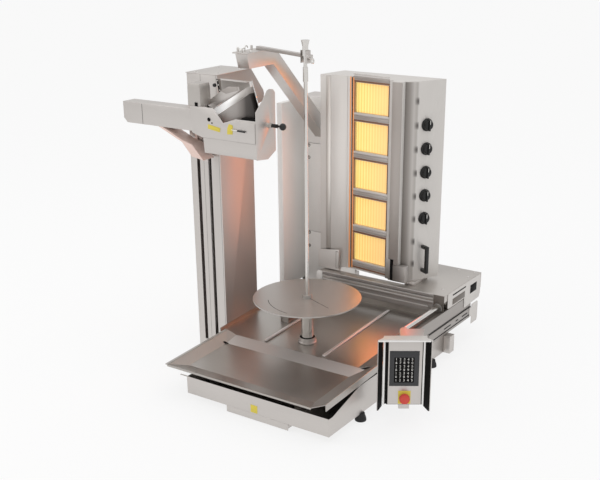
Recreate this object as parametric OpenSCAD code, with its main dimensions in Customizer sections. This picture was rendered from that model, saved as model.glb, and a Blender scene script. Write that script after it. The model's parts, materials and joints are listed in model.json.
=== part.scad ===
// Electric skewer grill: a slanted drip pan on a housing, a driven spit, a heater on a carriage
// and a cutting head on a lift column. Millimetres, Z up, the floor at zero.
// Pieces are placed from the spit axis, and placed() moves the whole machine to the middle of its box.

/* [Housing] */
// Height of the rubber feet
foot_h = 31; // [24:1:50]
// Radius of a foot at the floor
foot_r = 22; // [16:1:28]
// Thickness of the sheet metal
sheet = 2.5; // [2:0.5:4]
// Spit axis to the right side of the housing
base_right = 397; // [385:1:430]
// Spit axis to the left side of the housing
base_left = 257; // [240:1:280]
// Spit axis to the front apron
base_front = 454; // [440:1:480]
// Spit axis to the back of the housing
base_back = 476; // [460:1:500]
// Height of the front apron
apron_h = 71; // [60:1:80]
// Height of the side sheets behind the slope
side_h = 118; // [108:1:119]
// Length of the low front end of a side sheet
side_low_d = 25; // [15:1:40]
// Length of the sloping edge of a side sheet
side_slope_d = 179; // [140:1:190]

/* [Drip pan] */
// Height of the pan floor at its front edge
pan_z = 141; // [138:1:150]
// Slope of the pan, in degrees
pan_slope = 2.3; // [1.5:0.1:3]
// Spit axis to the front edge of the pan
pan_front = 100; // [90:1:110]
// Length of the pan
pan_d = 570; // [540:1:573]
// Spit axis to the right edge of the flat pan floor
pan_floor_right = 300; // [280:1:320]
// Height of the lip along the left side
pan_lip_h = 14; // [8:1:20]
// Height of the rear wall
pan_wall_h = 34; // [24:1:40]
// Height that the right flank rises
flank_h = 36; // [26:1:40]
// Width of a pressed rib
rib_w = 9; // [6:1:12]
// Height of a pressed rib
rib_h = 5; // [3:1:7]
// Spit axis to the left rib
rib_left = 147; // [130:1:160]
// Spit axis to the right rib
rib_right = 133; // [120:1:150]

/* [Front tray] */
// Spit axis to the front lip of the tray
tray_front = 478; // [465:1:490]
// Spit axis to the left rim of the tray
tray_left = 334; // [315:1:350]
// Width of the front flank
tray_front_flank = 78; // [60:1:90]
// Width of the rear flank
tray_rear_flank = 66; // [50:1:80]
// Width of the left flank
tray_left_flank = 46; // [35:1:60]
// Height of the front lip above the floor
tray_lip_h = 25; // [20:1:28]
// Height of the left rim above the floor
tray_left_h = 26; // [20:1:32]
// Height of the right rim above the floor
tray_right_h = 56; // [50:1:60]
// Height of the outer strip along the right rim
tray_strip_h = 27; // [20:1:32]

/* [Grease drawer] */
// Width of the drawer front
drawer_w = 284; // [240:1:320]
// Depth of the drawer
drawer_d = 300; // [240:1:360]
// Spit axis to the left end of the drawer front
drawer_left = 65; // [50:1:80]

/* [Spit] */
// Radius of the meat disc
disc_r = 217; // [190:1:220]
// Height of the underside of the meat disc
disc_z = 333; // [325:1:350]
// Radius of the rotating tube
shaft_r = 24.5; // [20:0.5:30]
// Radius of the bearing collar
collar_r = 35; // [34:0.5:42]
// Radius of the meat rod
rod_r = 7; // [5:0.5:8]
// Teeth of the large drive gear
gear_teeth = 48; // [36:1:60]
// Teeth of the motor pinion
pinion_teeth = 16; // [12:1:20]

/* [Lift column] */
// Spit axis to the right face of the column
column_right = 374; // [372:1:390]
// Width of the column
column_w = 153; // [145:1:170]
// Spit axis to the front face of the column
column_front = 54; // [45:1:60]
// Depth of the column
column_d = 218; // [200:1:230]
// Height of the top of the column
column_top = 1187; // [1170:1:1200]
// Width of a slot in the column face
slot_w = 16; // [14:1:18]
// Radius of a guide rod
guide_r = 10; // [8:0.5:12]
// Radius of the lift screw
screw_r = 8; // [6:0.5:9]

/* [Rear post and gooseneck] */
// Spit axis to the left edge of the rear post
post_left = 389; // [380:1:400]
// Width of the rear post
post_w = 139; // [130:1:142]
// Spit axis to the front of the rear post
post_front = 532; // [525:1:545]
// Depth of the rear post
post_d = 116; // [100:1:118]
// Width of the side shield
shield_w = 26; // [20:1:32]
// Depth of the side shield in front of the post
shield_d = 178; // [160:1:185]
// Side of the square gooseneck tube
goose_side = 54; // [48:1:58]
// Height of the top of the gooseneck
goose_top = 1267; // [1255:1:1275]
// Angle of the slanted leg below the level, in degrees
goose_angle = 43.5; // [42:0.5:45]

/* [Carriage rails] */
// Radius of a guide rail rod
rail_r = 10; // [8:0.5:12]
// Height of the axis of the rail rods
rail_z = 234; // [230:1:240]
// Height of the top of the carriage
carriage_top = 286; // [282:1:290]

/* [Heater] */
// Height of the bottom of the heater
heater_z = 301; // [298:1:306]
// Height of the heater body
heater_h = 838; // [820:1:850]
// Height of one burner window
window_h = 123; // [100:1:126]
// Distance from one burner to the next
burner_pitch = 161.5; // [150:0.5:165]
// Radius of a control knob
knob_r = 26; // [20:1:30]

/* [Cutting head] */
// Spit axis to the front face of the head
head_front = 194; // [190:1:205]
// Spit axis to the right face of the blade guard
guard_right = 87; // [80:1:95]
// Height of the lower edge of the guard
guard_z = 917; // [905:1:930]
// Radius of the round knife
knife_r = 58; // [50:1:60]

/* [Control box] */
// Width of the control panel
panel_w = 131; // [120:1:140]
// Height of the control panel
panel_h = 265; // [250:1:275]
// Turn of the panel towards the cook, in degrees
panel_turn = 33; // [28:1:36]
// Radius of the stop button
stop_r = 20; // [16:0.5:22]

/* [Hidden] */
$fn = 64;
// Overrun of every cut
cut = 1;
// Running clearance of a shaft in its hole
run = 0.05;
// Clearance between pieces that slide past one another
slip = 0.3;

// Heights that follow the gooseneck
rod_over = 67;
rod_top = goose_top + rod_over;
post_drop = 237;
post_top = goose_top - post_drop;

// Middle of the machine's box, from the spit axis
arm_left = 808;
hood_depth = 26;
flange_w = 12;
hood_front = 19;
hood_wide = 18.6;
panel_x = 528;
panel_y = -146;
panel_z = 68;
carriage_back = 786;
box_right = panel_x + (panel_w/2 + flange_w + hood_wide)*cos(panel_turn) + hood_front*sin(panel_turn);
mid_x = (box_right - arm_left)/2;
mid_y = (carriage_back - tray_front)/2;
module placed() { translate([-mid_x, -mid_y, 0]) children(); }

// A box between two opposite corners
module block(lo, hi) { translate(lo) cube(hi - lo); }
// An outline in Y and Z, drawn out along X from x0
module along_x(x0, w) { translate([x0, 0, 0]) rotate([90, 0, 90]) linear_extrude(w) children(); }
// An outline in X and Z, drawn out along Y from y0
module along_y(y0, d) { translate([0, y0 + d, 0]) rotate([90, 0, 0]) linear_extrude(d) children(); }
// A round bar between two heights
module bar(x, y, z0, z1, r) { translate([x, y, z0]) cylinder(h = z1 - z0, r = r); }
// A round bar along Y
module bar_y(x, y0, y1, z, r) { translate([x, y0, z]) rotate([-90, 0, 0]) cylinder(h = y1 - y0, r = r); }
// A round bar along X
module bar_x(x0, x1, y, z, r) { translate([x0, y, z]) rotate([0, 90, 0]) cylinder(h = x1 - x0, r = r); }

// A folded sheet: a path and the same path set off to its left by the thickness t
function unit(v) = v/norm(v);
function left_of(v) = [-v[1], v[0]];
function seg(path, i) = unit(path[i + 1] - path[i]);
function miter(path, i) =
    i == 0 ? left_of(seg(path, 0))
    : i == len(path) - 1 ? left_of(seg(path, i - 1))
    : (left_of(seg(path, i - 1)) + left_of(seg(path, i)))/(1 + seg(path, i - 1)*seg(path, i));
function folded(path, t) = concat(path,
    [for (i = [len(path) - 1 : -1 : 0]) path[i] + t*miter(path, i)]);

// Housing
side_top = foot_h + side_h;
apron_top = foot_h + apron_h;
low_end = -base_front + side_low_d;
slope_end = low_end + side_slope_d;
module right_outline() {
    polygon([[-base_front + sheet, foot_h], [base_back, foot_h], [base_back, side_top],
        [slope_end, side_top], [low_end, apron_top], [-base_front + sheet, apron_top]]);
}
module left_outline() {
    polygon([[-base_front + sheet, foot_h], [base_back, foot_h], [base_back, side_top],
        [-pan_front, side_top], [-pan_front, apron_top], [-base_front + sheet, apron_top]]);
}
module base_shell() {
    color("silver") {
        block([-base_left, -base_front + sheet, foot_h], [base_right, base_back, foot_h + sheet]);
        block([-base_left, base_back - sheet, foot_h], [base_right, base_back, side_top]);
        difference() {
            along_x(-base_left, sheet) left_outline();
            pan_frame() block([-base_right, -pan_d, -sheet], [0, 2*pan_d, side_h]);
        }
        along_x(base_right - sheet, sheet) right_outline();
    }
}

// Front apron, with a turned flange along its top and a blank plate on its face
apron_flange = 34;
sticker_side = 31;
sticker_t = 0.6;
sticker_x = 66;
sticker_z = 51;
module front_apron() {
    color("silver") {
        block([-base_left, -base_front, foot_h], [base_right, -base_front + sheet, apron_top]);
        block([-base_left - apron_flange, -base_front, apron_top - sheet],
            [-base_left, -base_front + 2*sheet, apron_top]);
    }
    color("yellow") along_y(-base_front - sticker_t, sticker_t)
        translate([sticker_x, sticker_z]) square(sticker_side, center = true);
}

// Plinth under the column and the rear post, open below
column_left = column_right + column_w;
column_back = -column_front + column_d;
post_back = post_front + post_d;
plinth_top = apron_top;
post_right = post_left - post_w;
module plinth_plan(e) {
    polygon([[-base_left - e, -column_front + e], [-column_right + e, -column_front + e],
        [-column_right + e, column_back + e], [-column_left + e, column_back + e],
        [-column_left + e, post_back - e], [-post_right - e, post_back - e],
        [-post_right - e, base_back + e], [-base_left - e, base_back + e]]);
}
// Opening between the plinth and the hollow post
module post_well() {
    block([-post_left + 2*sheet, post_front + 2*sheet, sheet],
        [-post_right - 2*sheet, post_back - 2*sheet, side_h]);
}
module plinth() {
    color("silver") translate([0, 0, foot_h]) difference() {
        linear_extrude(plinth_top - foot_h) plinth_plan(0);
        translate([0, 0, sheet]) linear_extrude(plinth_top - foot_h - 2*sheet) plinth_plan(sheet);
        post_well();
    }
}

// Rubber feet, widest at the floor
foot_top_r_share = 0.72;
foot_inset = 5;
foot_y = 229;
foot_rear_y = 341;
foot_places = [[base_right - foot_inset, -foot_y], [base_right - foot_inset, foot_rear_y],
    [-base_left + foot_r, -foot_y], [-column_right - column_w/2, -column_front + 2*foot_r],
    [-column_left + 2*foot_r, post_back - 2*foot_r], [-post_right - foot_r, post_back - 2*foot_r]];
module rubber_feet() {
    color("dimgray") for (p = foot_places) translate([p[0], p[1], 0])
        cylinder(h = foot_h, r1 = foot_r, r2 = foot_r*foot_top_r_share);
}

// Drip pan: floor, left lip, rear wall, ribs and a right flank that narrows beside the rail
rail_left = 347;
rail_front = 112;
rim_gap = 2;
rim_x = base_right + sheet + rim_gap;
shelf_x = 391;
bore_gap = 0.3;
rib_end = 18;
rib_front_share = 0.02;
rib_back_share = 0.93;
module pan_frame() { translate([0, -pan_front, pan_z]) rotate([pan_slope, 0, 0]) children(); }
module flank(y0, y1, x1) {
    along_y(y0, y1 - y0) polygon(folded([[x1, flank_h - tray_strip_h], [x1, flank_h],
        [shelf_x - rim_x + x1, flank_h], [pan_floor_right, 0]], sheet));
}
module rib(x) {
    y0 = pan_d*rib_front_share;
    y1 = pan_d*rib_back_share;
    block([x - rib_w/2, y0, 0], [x + rib_w/2, y1, rib_h]);
    translate([x, y0, 0]) cylinder(h = rib_h, r = rib_w/2);
}
module drip_pan() {
    color("rosybrown") difference() {
        pan_frame() {
            block([-column_right + slip, 0, -sheet], [pan_floor_right, pan_d, 0]);
            block([-column_right + slip, 0, -sheet], [-column_right + slip + sheet, pan_d, pan_lip_h]);
            block([-column_right + slip, pan_d - sheet, -sheet], [pan_floor_right, pan_d, pan_wall_h]);
            along_y(0, rail_front - slip + pan_front) polygon(folded([[rim_x, flank_h - tray_strip_h],
                [rim_x, flank_h], [shelf_x, flank_h], [pan_floor_right, 0]], sheet));
            along_y(rail_front - slip + pan_front, pan_d - rail_front + slip - pan_front)
                polygon(folded([[rail_left - sheet, flank_h], [pan_floor_right, 0]], sheet));
            rib(-rib_left);
            rib(rib_right);
        }
        bar(0, 0, foot_h, disc_z, collar_r + slip);
    }
}

// Two rails that carry the front tray
tray_x = [-200, 200];
tray_rail_w = 26;
tray_d = tray_front - pan_front;
tray_back_h = 9;
tray_floor_z = pan_z - tray_back_h;
module tray_frame() { translate([0, -pan_front - slip, tray_floor_z]) rotate([pan_slope, 0, 0])
    children(); }
module tray_rails() {
    color("darkgray") for (x = tray_x) difference() {
        tray_frame() block([x - tray_rail_w/2, -tray_d + 3*tray_rail_w, -tray_d],
            [x + tray_rail_w/2, -tray_rear_flank - tray_rail_w, -sheet]);
        tray_frame() block([x - tray_rail_w/2 + sheet, -tray_d + 3*tray_rail_w - cut, -tray_d - cut],
            [x + tray_rail_w/2 - sheet, -tray_rear_flank - tray_rail_w + cut, -2*sheet]);
        block([-tray_front, -tray_front, -tray_front], [tray_front, tray_front, foot_h + sheet]);
    }
}

// Front tray: a pressed pan with four flared flanks of different heights
tray_points = [
    [-tray_left, 0], [rim_x, 0], [rim_x, -tray_d], [-tray_left, -tray_d],
    [-tray_left + tray_left_flank, -tray_rear_flank], [pan_floor_right, -tray_rear_flank],
    [pan_floor_right, -tray_d + tray_front_flank], [-tray_left + tray_left_flank,
        -tray_d + tray_front_flank]];
tray_heights = [tray_left_h, tray_right_h, tray_right_h, tray_left_h];
rim_w = 9;
module tray_shell() {
    top = [for (i = [0 : 3]) [tray_points[i][0], tray_points[i][1], tray_heights[i]]];
    lip = [[pan_floor_right + flank_h, 0, tray_back_h + rim_gap], [pan_floor_right + flank_h, -tray_d,
        tray_lip_h],
        [-tray_left + tray_left_flank, -tray_d, tray_lip_h], [-tray_left + tray_left_flank, 0,
            tray_back_h + rim_gap]];
    low = [for (i = [4 : 7]) [tray_points[i][0], tray_points[i][1], 0]];
    // rim corners, lip corners and floor corners, then the same points one sheet lower
    up = [top[0], lip[3], lip[0], top[1], top[2], lip[1], lip[2], top[3], low[0], low[1], low[2], low[3]];
    n = len(up);
    pts = concat(up, [for (p = up) p - [0, 0, sheet]]);
    upper = [[10, 11, 8], [9, 10, 8], [1, 8, 0], [9, 8, 1], [2, 9, 1], [3, 9, 2], [10, 9, 3], [4, 10, 3],
        [5, 10, 4], [11, 10, 5], [6, 11, 5], [7, 11, 6], [8, 11, 7], [0, 8, 7]];
    rim = [for (i = [0 : 7]) let (j = (i + 1) % 8) [[j + n, j, i], [i + n, j + n, i]]];
    lower = [for (f = upper) [f[0] + n, f[2] + n, f[1] + n]];
    polyhedron(points = pts, faces = concat(upper, [for (r = rim, f = r) f], lower), convexity = 4);
}
module front_tray() {
    color("rosybrown") tray_frame() {
        tray_shell();
        block([rim_x - sheet, -tray_d, tray_right_h - tray_strip_h], [rim_x, 0, tray_right_h]);
        block([-tray_left - rim_w, -tray_d, tray_left_h - sheet], [-tray_left + sheet, 0, tray_left_h]);
        block([-tray_left, -tray_d, tray_lip_h - 3*sheet], [pan_floor_right + flank_h, -tray_d + sheet,
            tray_lip_h]);
    }
}

// Grease drawer under the housing, hung by its side flanges on two runners
drawer_floor = 5;
drawer_flange = 8;
runner_t = 2;
flange_z = foot_h - 3*runner_t;
drawer_x0 = -drawer_left;
drawer_x1 = -drawer_left + drawer_w;
module drawer_runners() {
    color("darkgray") for (s = [[drawer_x0, 1], [drawer_x1, -1]]) {
        x = s[0] + (s[1] > 0 ? 0 : -runner_t);
        lx = s[0] + (s[1] > 0 ? 0 : -drawer_flange);
        block([x, -base_front + 2*sheet, flange_z - runner_t], [x + runner_t, -base_front + drawer_d,
            foot_h]);
        block([lx, -base_front + 2*sheet, flange_z - runner_t],
            [lx + drawer_flange, -base_front + drawer_d, flange_z]);
    }
}
module grease_drawer() {
    x0 = drawer_x0 + drawer_flange + slip;
    x1 = drawer_x1 - drawer_flange - slip;
    fz = flange_z + slip;
    color("silver") {
        difference() {
            block([x0, -base_front + sheet, drawer_floor], [x1, -base_front + drawer_d, fz + runner_t]);
            block([x0 + runner_t, -base_front + 2*sheet, drawer_floor + runner_t],
                [x1 - runner_t, -base_front + drawer_d - runner_t, foot_h]);
        }
        for (lo = [drawer_x0 + runner_t + slip, x1 - runner_t])
            block([lo, -base_front + 2*sheet, fz],
                [lo + drawer_flange, -base_front + drawer_d, fz + runner_t]);
        block([drawer_x0, -base_front, drawer_floor], [drawer_x1, -base_front + sheet, foot_h - slip]);
    }
}

// Spit bearing: a collar through the pan on a flange that stands on the housing floor
bearing_h = 40;
gear_h = 14;
gear_z = 66;
gear_module = 2.5;
gear_r = gear_module*gear_teeth/2;
pinion_r = gear_module*pinion_teeth/2;
axis_gap = gear_r + pinion_r;
collar_over = 26;
collar_top = pan_z + collar_over;
leg_r = 6;
bearing_legs = 3;
module spit_bearing() {
    color("silver") difference() {
        union() {
            bar(0, 0, gear_z + gear_h + slip, collar_top, collar_r);
            bar(0, 0, gear_z + gear_h + slip, gear_z + gear_h + 2*leg_r, gear_r + 4*leg_r);
            for (a = [0 : bearing_legs - 1]) rotate(60 + a*360/bearing_legs)
                bar(gear_r + 2.5*leg_r, 0, foot_h + sheet, gear_z + gear_h + leg_r, leg_r);
            bar(axis_gap, 0, gear_z + gear_h + slip, gear_z + gear_h + 2*leg_r, 5*leg_r);
        }
        bar(0, 0, foot_h, collar_top + cut, shaft_r + run);
        bar(axis_gap, 0, foot_h, collar_top, pinion_shaft_r + run);
    }
}
pinion_shaft_r = 8;
motor_r = 32;
motor_top = pan_z - 2*leg_r;
module spit_motor() {
    color("dimgray") difference() {
        bar(axis_gap, 0, gear_z + gear_h + 2*leg_r, motor_top, motor_r - leg_r);
        bar(axis_gap, 0, foot_h, motor_top - leg_r, pinion_shaft_r + run);
    }
}
// A spur gear outline with straight flanks
function gear_outline(teeth, r) = [for (i = [0 : teeth - 1], k = [0 : 3])
    let (a = 360/teeth*(i + [-0.34, -0.14, 0.14, 0.34][k]),
        d = r + gear_module*[-1.15, 0.85, 0.85, -1.15][k]) [d*cos(a), d*sin(a)]];
module spit_gear() {
    color("gray") translate([0, 0, gear_z]) difference() {
        linear_extrude(gear_h) polygon(gear_outline(gear_teeth, gear_r));
        translate([0, 0, -cut]) cylinder(h = gear_h + 2*cut, r = shaft_r);
    }
}
module motor_pinion() {
    color("gray") translate([axis_gap, 0, gear_z]) {
        rotate(180 + 180/pinion_teeth) linear_extrude(gear_h) polygon(gear_outline(pinion_teeth, pinion_r));
        cylinder(h = motor_top - 2*leg_r - gear_z, r = pinion_shaft_r);
    }
}
shaft_bottom = foot_h + 2*sheet;
shaft_wall = 5;
module spit_shaft() {
    color("lightgray") difference() {
        bar(0, 0, shaft_bottom, disc_z, shaft_r);
        bar(0, 0, disc_z - 3*shaft_r, disc_z + cut, rod_r + run);
    }
}
disc_t = 5;
hub_h = 16;
hub_r = 20;
module meat_disc() {
    color("lightgray") difference() {
        union() {
            bar(0, 0, disc_z, disc_z + disc_t, disc_r);
            bar(0, 0, disc_z, disc_z + hub_h, hub_r);
        }
        bar(0, 0, disc_z - cut, disc_z + hub_h + cut, rod_r + run);
    }
}
// Rod with a sleeve below the clamp and a flared cap on top
sleeve_under = 29;
sleeve_top = goose_top - sleeve_under;
sleeve_h = 52;
sleeve_r = 9.5;
cap_r = 16;
cap_h = 22;
neck_r = 11;
neck_share = 2.6;
module meat_rod() {
    color("lightgray") {
        bar(0, 0, disc_z - 3*shaft_r + cut, rod_top - cap_h, rod_r);
        bar(0, 0, sleeve_top - sleeve_h, sleeve_top, sleeve_r);
        bar(0, 0, rod_top - neck_share*cap_h, rod_top - cap_h, neck_r);
        translate([0, 0, rod_top - cap_h]) cylinder(h = cap_h, r1 = neck_r, r2 = cap_r);
    }
}

// Lift column: a channel with its back and sides, and a slotted front
slot_in = 40;
slot_gap = 58;
slot_x = [column_left - slot_in, column_left - slot_in - slot_gap];
slot_top = column_top - slot_in;
column_bottom = foot_h;
bulge_d = 84;
bulge_h = 156;
module column_shell() {
    color("silver") difference() {
        union() {
            block([-column_left, -column_front + sheet, column_bottom], [-column_right, column_back,
                column_top]);
            along_x(-column_left, column_w) polygon([[column_back, column_top],
                [column_back + bulge_d*0.93, column_top - 0.6*bulge_h], [column_back + bulge_d,
                    column_top - 0.7*bulge_h],
                [column_back + bulge_d*0.93, column_top - 0.88*bulge_h], [column_back,
                    column_top - bulge_h]]);
        }
        block([-column_left + sheet, -column_front, column_bottom + sheet],
            [-column_right - sheet, column_back - sheet, column_top + cut]);
        along_x(-column_left + sheet, column_w - 2*sheet) polygon([[column_back - 2*sheet,
            column_top - 3*sheet],
            [column_back + bulge_d*0.88, column_top - 0.61*bulge_h], [column_back + bulge_d - 2*sheet,
                column_top - 0.7*bulge_h],
            [column_back + bulge_d*0.88, column_top - 0.86*bulge_h], [column_back - 2*sheet,
                column_top - bulge_h + 3*sheet]]);
    }
}
module column_front() {
    color("silver") difference() {
        block([-column_left, -column_front, column_bottom], [-column_right, -column_front + sheet,
            column_top]);
        for (x = slot_x) block([-x - slot_w/2, -column_front - cut, column_bottom + 2*slot_w],
            [-x + slot_w/2, -column_front + sheet + cut, slot_top]);
    }
}
cap_over = 3;
module column_cap() {
    color("lightgray") block([-column_left - cap_over, -column_front - cap_over, column_top],
        [-column_right + cap_over, column_back, column_top + sheet]);
}
guide_y = 20;
guide_in = 32;
guide_gap = 89;
guide_x = [column_left - guide_in, column_left - guide_in - guide_gap];
screw_x = column_left - column_w/2;
screw_y = 50;
module guide_rods() {
    color("lightgray") for (x = guide_x) bar(-x, guide_y, column_bottom + sheet, column_top, guide_r);
}
motor_side = 70;
motor_h = 90;
module lift_motor() {
    color("dimgray") difference() {
        block([-screw_x - motor_side/2, screw_y - motor_side/2 + 1.7*guide_r, column_top - motor_h],
            [-screw_x + motor_side/2, screw_y + motor_side/2, column_top]);
        bar(-screw_x, screw_y, column_top - motor_h - cut, column_top - motor_h/2, screw_r + run);
    }
}
module lift_screw() {
    color("lightgray") bar(-screw_x, screw_y, column_bottom + sheet + slip,
        column_top - motor_h/2 - slip, screw_r);
}

// Lift carriage: a block on the guide rods, with two fins through the slots
lift_z0 = 960;
lift_z1 = 1070;
fin_t = 10;
arm_back = 62;
arm_front = 130;
lift_x0 = column_left - fin_t;
lift_x1 = column_right + fin_t;
module lift_carriage() {
    color("gray") difference() {
        union() {
            block([-lift_x0, -guide_y, lift_z0], [-lift_x1, screw_y + guide_y, lift_z1]);
            for (x = slot_x) block([-x - fin_t/2, -arm_back, lift_z0], [-x + fin_t/2, -guide_y, lift_z1]);
        }
        for (x = guide_x) bar(-x, guide_y, lift_z0 - cut, lift_z1 + cut, guide_r + run);
        bar(-screw_x, screw_y, lift_z0 - cut, lift_z1 + cut, screw_r + run);
    }
}

// Horizontal arm housing with its brace, and the beam that slides in it
arm_z0 = 979;
arm_z1 = 1063;
arm_right = 440;
arm_chamfer = 18;
module arm_housing() {
    color("silver") difference() {
        along_y(-arm_front, arm_front - arm_back) polygon([[-arm_left, arm_z1], [-arm_right, arm_z1],
            [-arm_right, arm_z0], [-arm_left + arm_chamfer, arm_z0], [-arm_left, arm_z0 + arm_chamfer]]);
        block([-arm_left + sheet + arm_chamfer, -arm_front + sheet, arm_z0 + sheet],
            [-arm_right + cut, -arm_back - sheet, arm_z1 - sheet]);
    }
    color("silver") block([-arm_right, -arm_back - sheet, arm_z0], [-slot_x[1] + fin_t/2, -arm_back,
        arm_z1]);
}
brace_t = 8;
brace_left = 622;
brace_seam = 503;
seam_z = 929;
brace_dir = unit([brace_left - brace_seam, seam_z - arm_z0]);
brace_up = brace_t*left_of(brace_dir);
elbow = [-452, 924];
elbow_low = [-455, 877];
elbow_end = [-397, 868];
fin_low = 914;
module arm_brace() {
    seam = [-brace_seam, seam_z];
    color("silver") {
        along_y(-arm_front, arm_front - arm_back) polygon([[-brace_left, arm_z0], seam, seam + brace_up,
            [-brace_left + brace_t/-brace_dir[1], arm_z0]]);
        along_y(-arm_front, arm_front - arm_back) polygon([seam, elbow_low, elbow_end, elbow,
            seam + brace_up]);
        block([-slot_x[0] - fin_t/2, -arm_back - cut, fin_low], [-slot_x[0] + fin_t/2, -guide_y, lift_z0]);
    }
}
beam_w = 52;
slide_room = 144;
slide_left = arm_left - slide_room;
slide_end = 310;
beam_mid_y = (arm_front + arm_back)/2;
beam_mid_z = (arm_z0 + arm_z1)/2;
beam_h = arm_z1 - arm_z0 - 2*sheet - 2*slip;
beam_d = arm_front - arm_back - 2*sheet - 2*slip;
module arm_slide() {
    color("gray") difference() {
        block([-slide_left, -beam_mid_y - beam_d/2, beam_mid_z - beam_h/2],
            [-slide_end, -beam_mid_y + beam_d/2, beam_mid_z + beam_h/2]);
        block([-slide_left - cut, -beam_mid_y - beam_d/2 + 2*sheet, beam_mid_z - beam_h/2 + 2*sheet],
            [-slide_end + cut, -beam_mid_y + beam_d/2 - 2*sheet, beam_mid_z + beam_h/2 - 2*sheet]);
    }
}

// Cutting head: a folded front plate, a cross wall on the beam, a back plate and a sloping drive box
head_left = 397;
fold_z = 976;
cheek_z = 1091;
head_back = 73;
frame_x0 = 345;
frame_flare = 48;
flare_z = 990;
plate_x = 310;
plate_t = 8;
notch = [[-180, 1060], [-240, 1040], [-286, 1091]];
back_left = 338;
back_right = 199;
back_low = 1064;
back_top = 1181;
flange_d = 28;
box_front = 172;
box_corners = [[-345, 1066], [-283, 1063], [-146, 1142], [-168, 1168], [-186, 1157]];
cross_top = 1060;
module head_frame() {
    color("silver") {
        along_y(-head_front, sheet) polygon([[-frame_x0 - frame_flare, flare_z], [-frame_x0, fold_z],
            [-guard_right - sheet, fold_z], [-guard_right - sheet, cross_top], notch[0], notch[1], notch[2],
            [-head_left, cheek_z]]);
        block([-plate_x, -head_front + sheet, fold_z], [-plate_x + plate_t, -head_back, cross_top]);
        block([-plate_x + plate_t, -head_front + sheet, fold_z],
            [-guard_right - sheet, -head_back, fold_z + sheet]);
        block([-plate_x, -head_back - sheet, cross_top - plate_t],
            [-plate_x + plate_t, -head_back, back_low + plate_t]);
        block([-back_left, -head_back - sheet, back_low], [-back_right, -head_back, back_top]);
        block([-back_left, -head_back - flange_d, back_top - sheet], [-back_right, -head_back, back_top]);
    }
}
cover_left = 406;
cover_top = 1174;
cover_d = 62;
cover_cut = 6;
cover_slope = 18;
module head_motor() {
    color("silver") along_y(-head_front, cover_d) polygon([[-cover_left, cover_top - cover_slope],
        [-cover_left + cover_cut, cover_top], [-frame_x0 - cover_cut, cover_top],
        [-frame_x0 - slip, cover_top - cover_slope], [-frame_x0 - slip, cheek_z],
        [-cover_left + cover_cut, cheek_z], [-cover_left, cheek_z + cover_cut]]);
}
// The round knife stands at the upper end of the drive box, tilted back a little
knife_x = -139;
knife_y = -125;
knife_z = 1141;
knife_t = 3;
knife_hub_r = 8;
knife_hub_l = 38;
knife_tilt = 13.4;
knife_yaw = 38;
housing = [[-206, 1096], [-206, 1112], [-170, 1136], [-125, 1152], [-125, 1080], [-190, 1080]];
housing_y = [-168, -92];
module knife_place() {
    translate([knife_x, knife_y, knife_z]) rotate([0, 90 - knife_tilt, knife_yaw]) children();
}
module knife_drum() {
    color("lightgray") difference() {
        union() {
            along_y(-box_front, box_front - head_back - sheet) polygon(box_corners);
            along_y(housing_y[0], housing_y[1] - housing_y[0]) polygon(housing);
        }
        knife_place() {
            block([-2*knife_r, -2*knife_r, -2*slip], [2*knife_r, 2*knife_r, 2*knife_r]);
            translate([0, 0, -knife_hub_l - slip]) cylinder(h = knife_hub_l + slip, r = knife_hub_r + run);
        }
    }
}
module knife() {
    color("lightgray") knife_place() {
        cylinder(h = knife_t, r = knife_r);
        translate([0, 0, -knife_hub_l]) cylinder(h = knife_hub_l, r = knife_hub_r);
    }
}
guard_mid = 124;
guard_low = 8;
guard_rise = 17;
guard_top = [[-73, 1150], [-84, 1162], [-108, 1166], [-122, 1162], [-148, 1132]];
guard_knee_z = 1092;
skirt_in = 6;
module guard() {
    color("silver") {
        difference() {
            along_x(-guard_right - sheet, sheet) polygon([[-head_front, guard_z], [-guard_mid,
            guard_z - guard_low],
            [-head_back, guard_z + guard_rise], guard_top[0], guard_top[1], guard_top[2], guard_top[3],
            guard_top[4], [-head_front, guard_knee_z]]);
            bar_x(-guard_right - sheet - cut, -guard_right + cut, plunger_y, plunger_z, stem_r + run);
        }
        along_x(-frame_x0 + skirt_in, frame_x0 - guard_right - skirt_in - sheet)
            polygon(folded([[-head_front, fold_z - slip], [-head_front + skirt_in, guard_z],
                [-guard_mid, guard_z - guard_low], [-head_back, guard_z + guard_rise]], sheet));
    }
}
plunger_y = -108;
plunger_z = 1033;
stem_l = 34;
stem_in = 12;
stem_r = 7;
pin_r = 4;
ball_x = 58;
ball_r = 13;
module lock_plunger() {
    color("dimgray") {
        bar_x(-guard_right - stem_in, -guard_right + stem_l, plunger_y, plunger_z, stem_r);
        bar_x(-guard_right + stem_l, -guard_right + ball_x, plunger_y, plunger_z, pin_r);
        translate([-guard_right + ball_x, plunger_y, plunger_z]) sphere(r = ball_r, $fn = 40);
    }
}

// Rear post with its covers and the side shield
module rear_post() {
    color("silver") difference() {
        block([-post_left, post_front + sheet, plinth_top], [-post_right, post_back, post_top]);
        block([-post_left + sheet, post_front, plinth_top + sheet],
            [-post_right - sheet, post_back - sheet, post_top - sheet]);
        translate([0, 0, foot_h]) post_well();
    }
}
seam_low = 421;
seam_high = 825;
cover_seams = [plinth_top, seam_low, seam_high, post_top];
seam = 1.5;
module post_covers() {
    color("lightgray") for (i = [0 : 2])
        block([-post_left + shield_w, post_front, cover_seams[i] + seam],
            [-post_right, post_front + sheet, cover_seams[i + 1]]);
}
shield_over = 60;
shield_cut = 8;
module side_shield() {
    low_z = pan_z + shield_over;
    top_z = post_top - shield_cut;
    color("lightgray") difference() {
        block([-post_left, post_front - shield_d, low_z], [-post_left + shield_w, post_front + sheet,
            top_z]);
        block([-post_left + sheet, post_front - shield_d + sheet, low_z - cut],
            [-post_left + shield_w - sheet, post_front, top_z - sheet]);
    }
}

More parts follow.
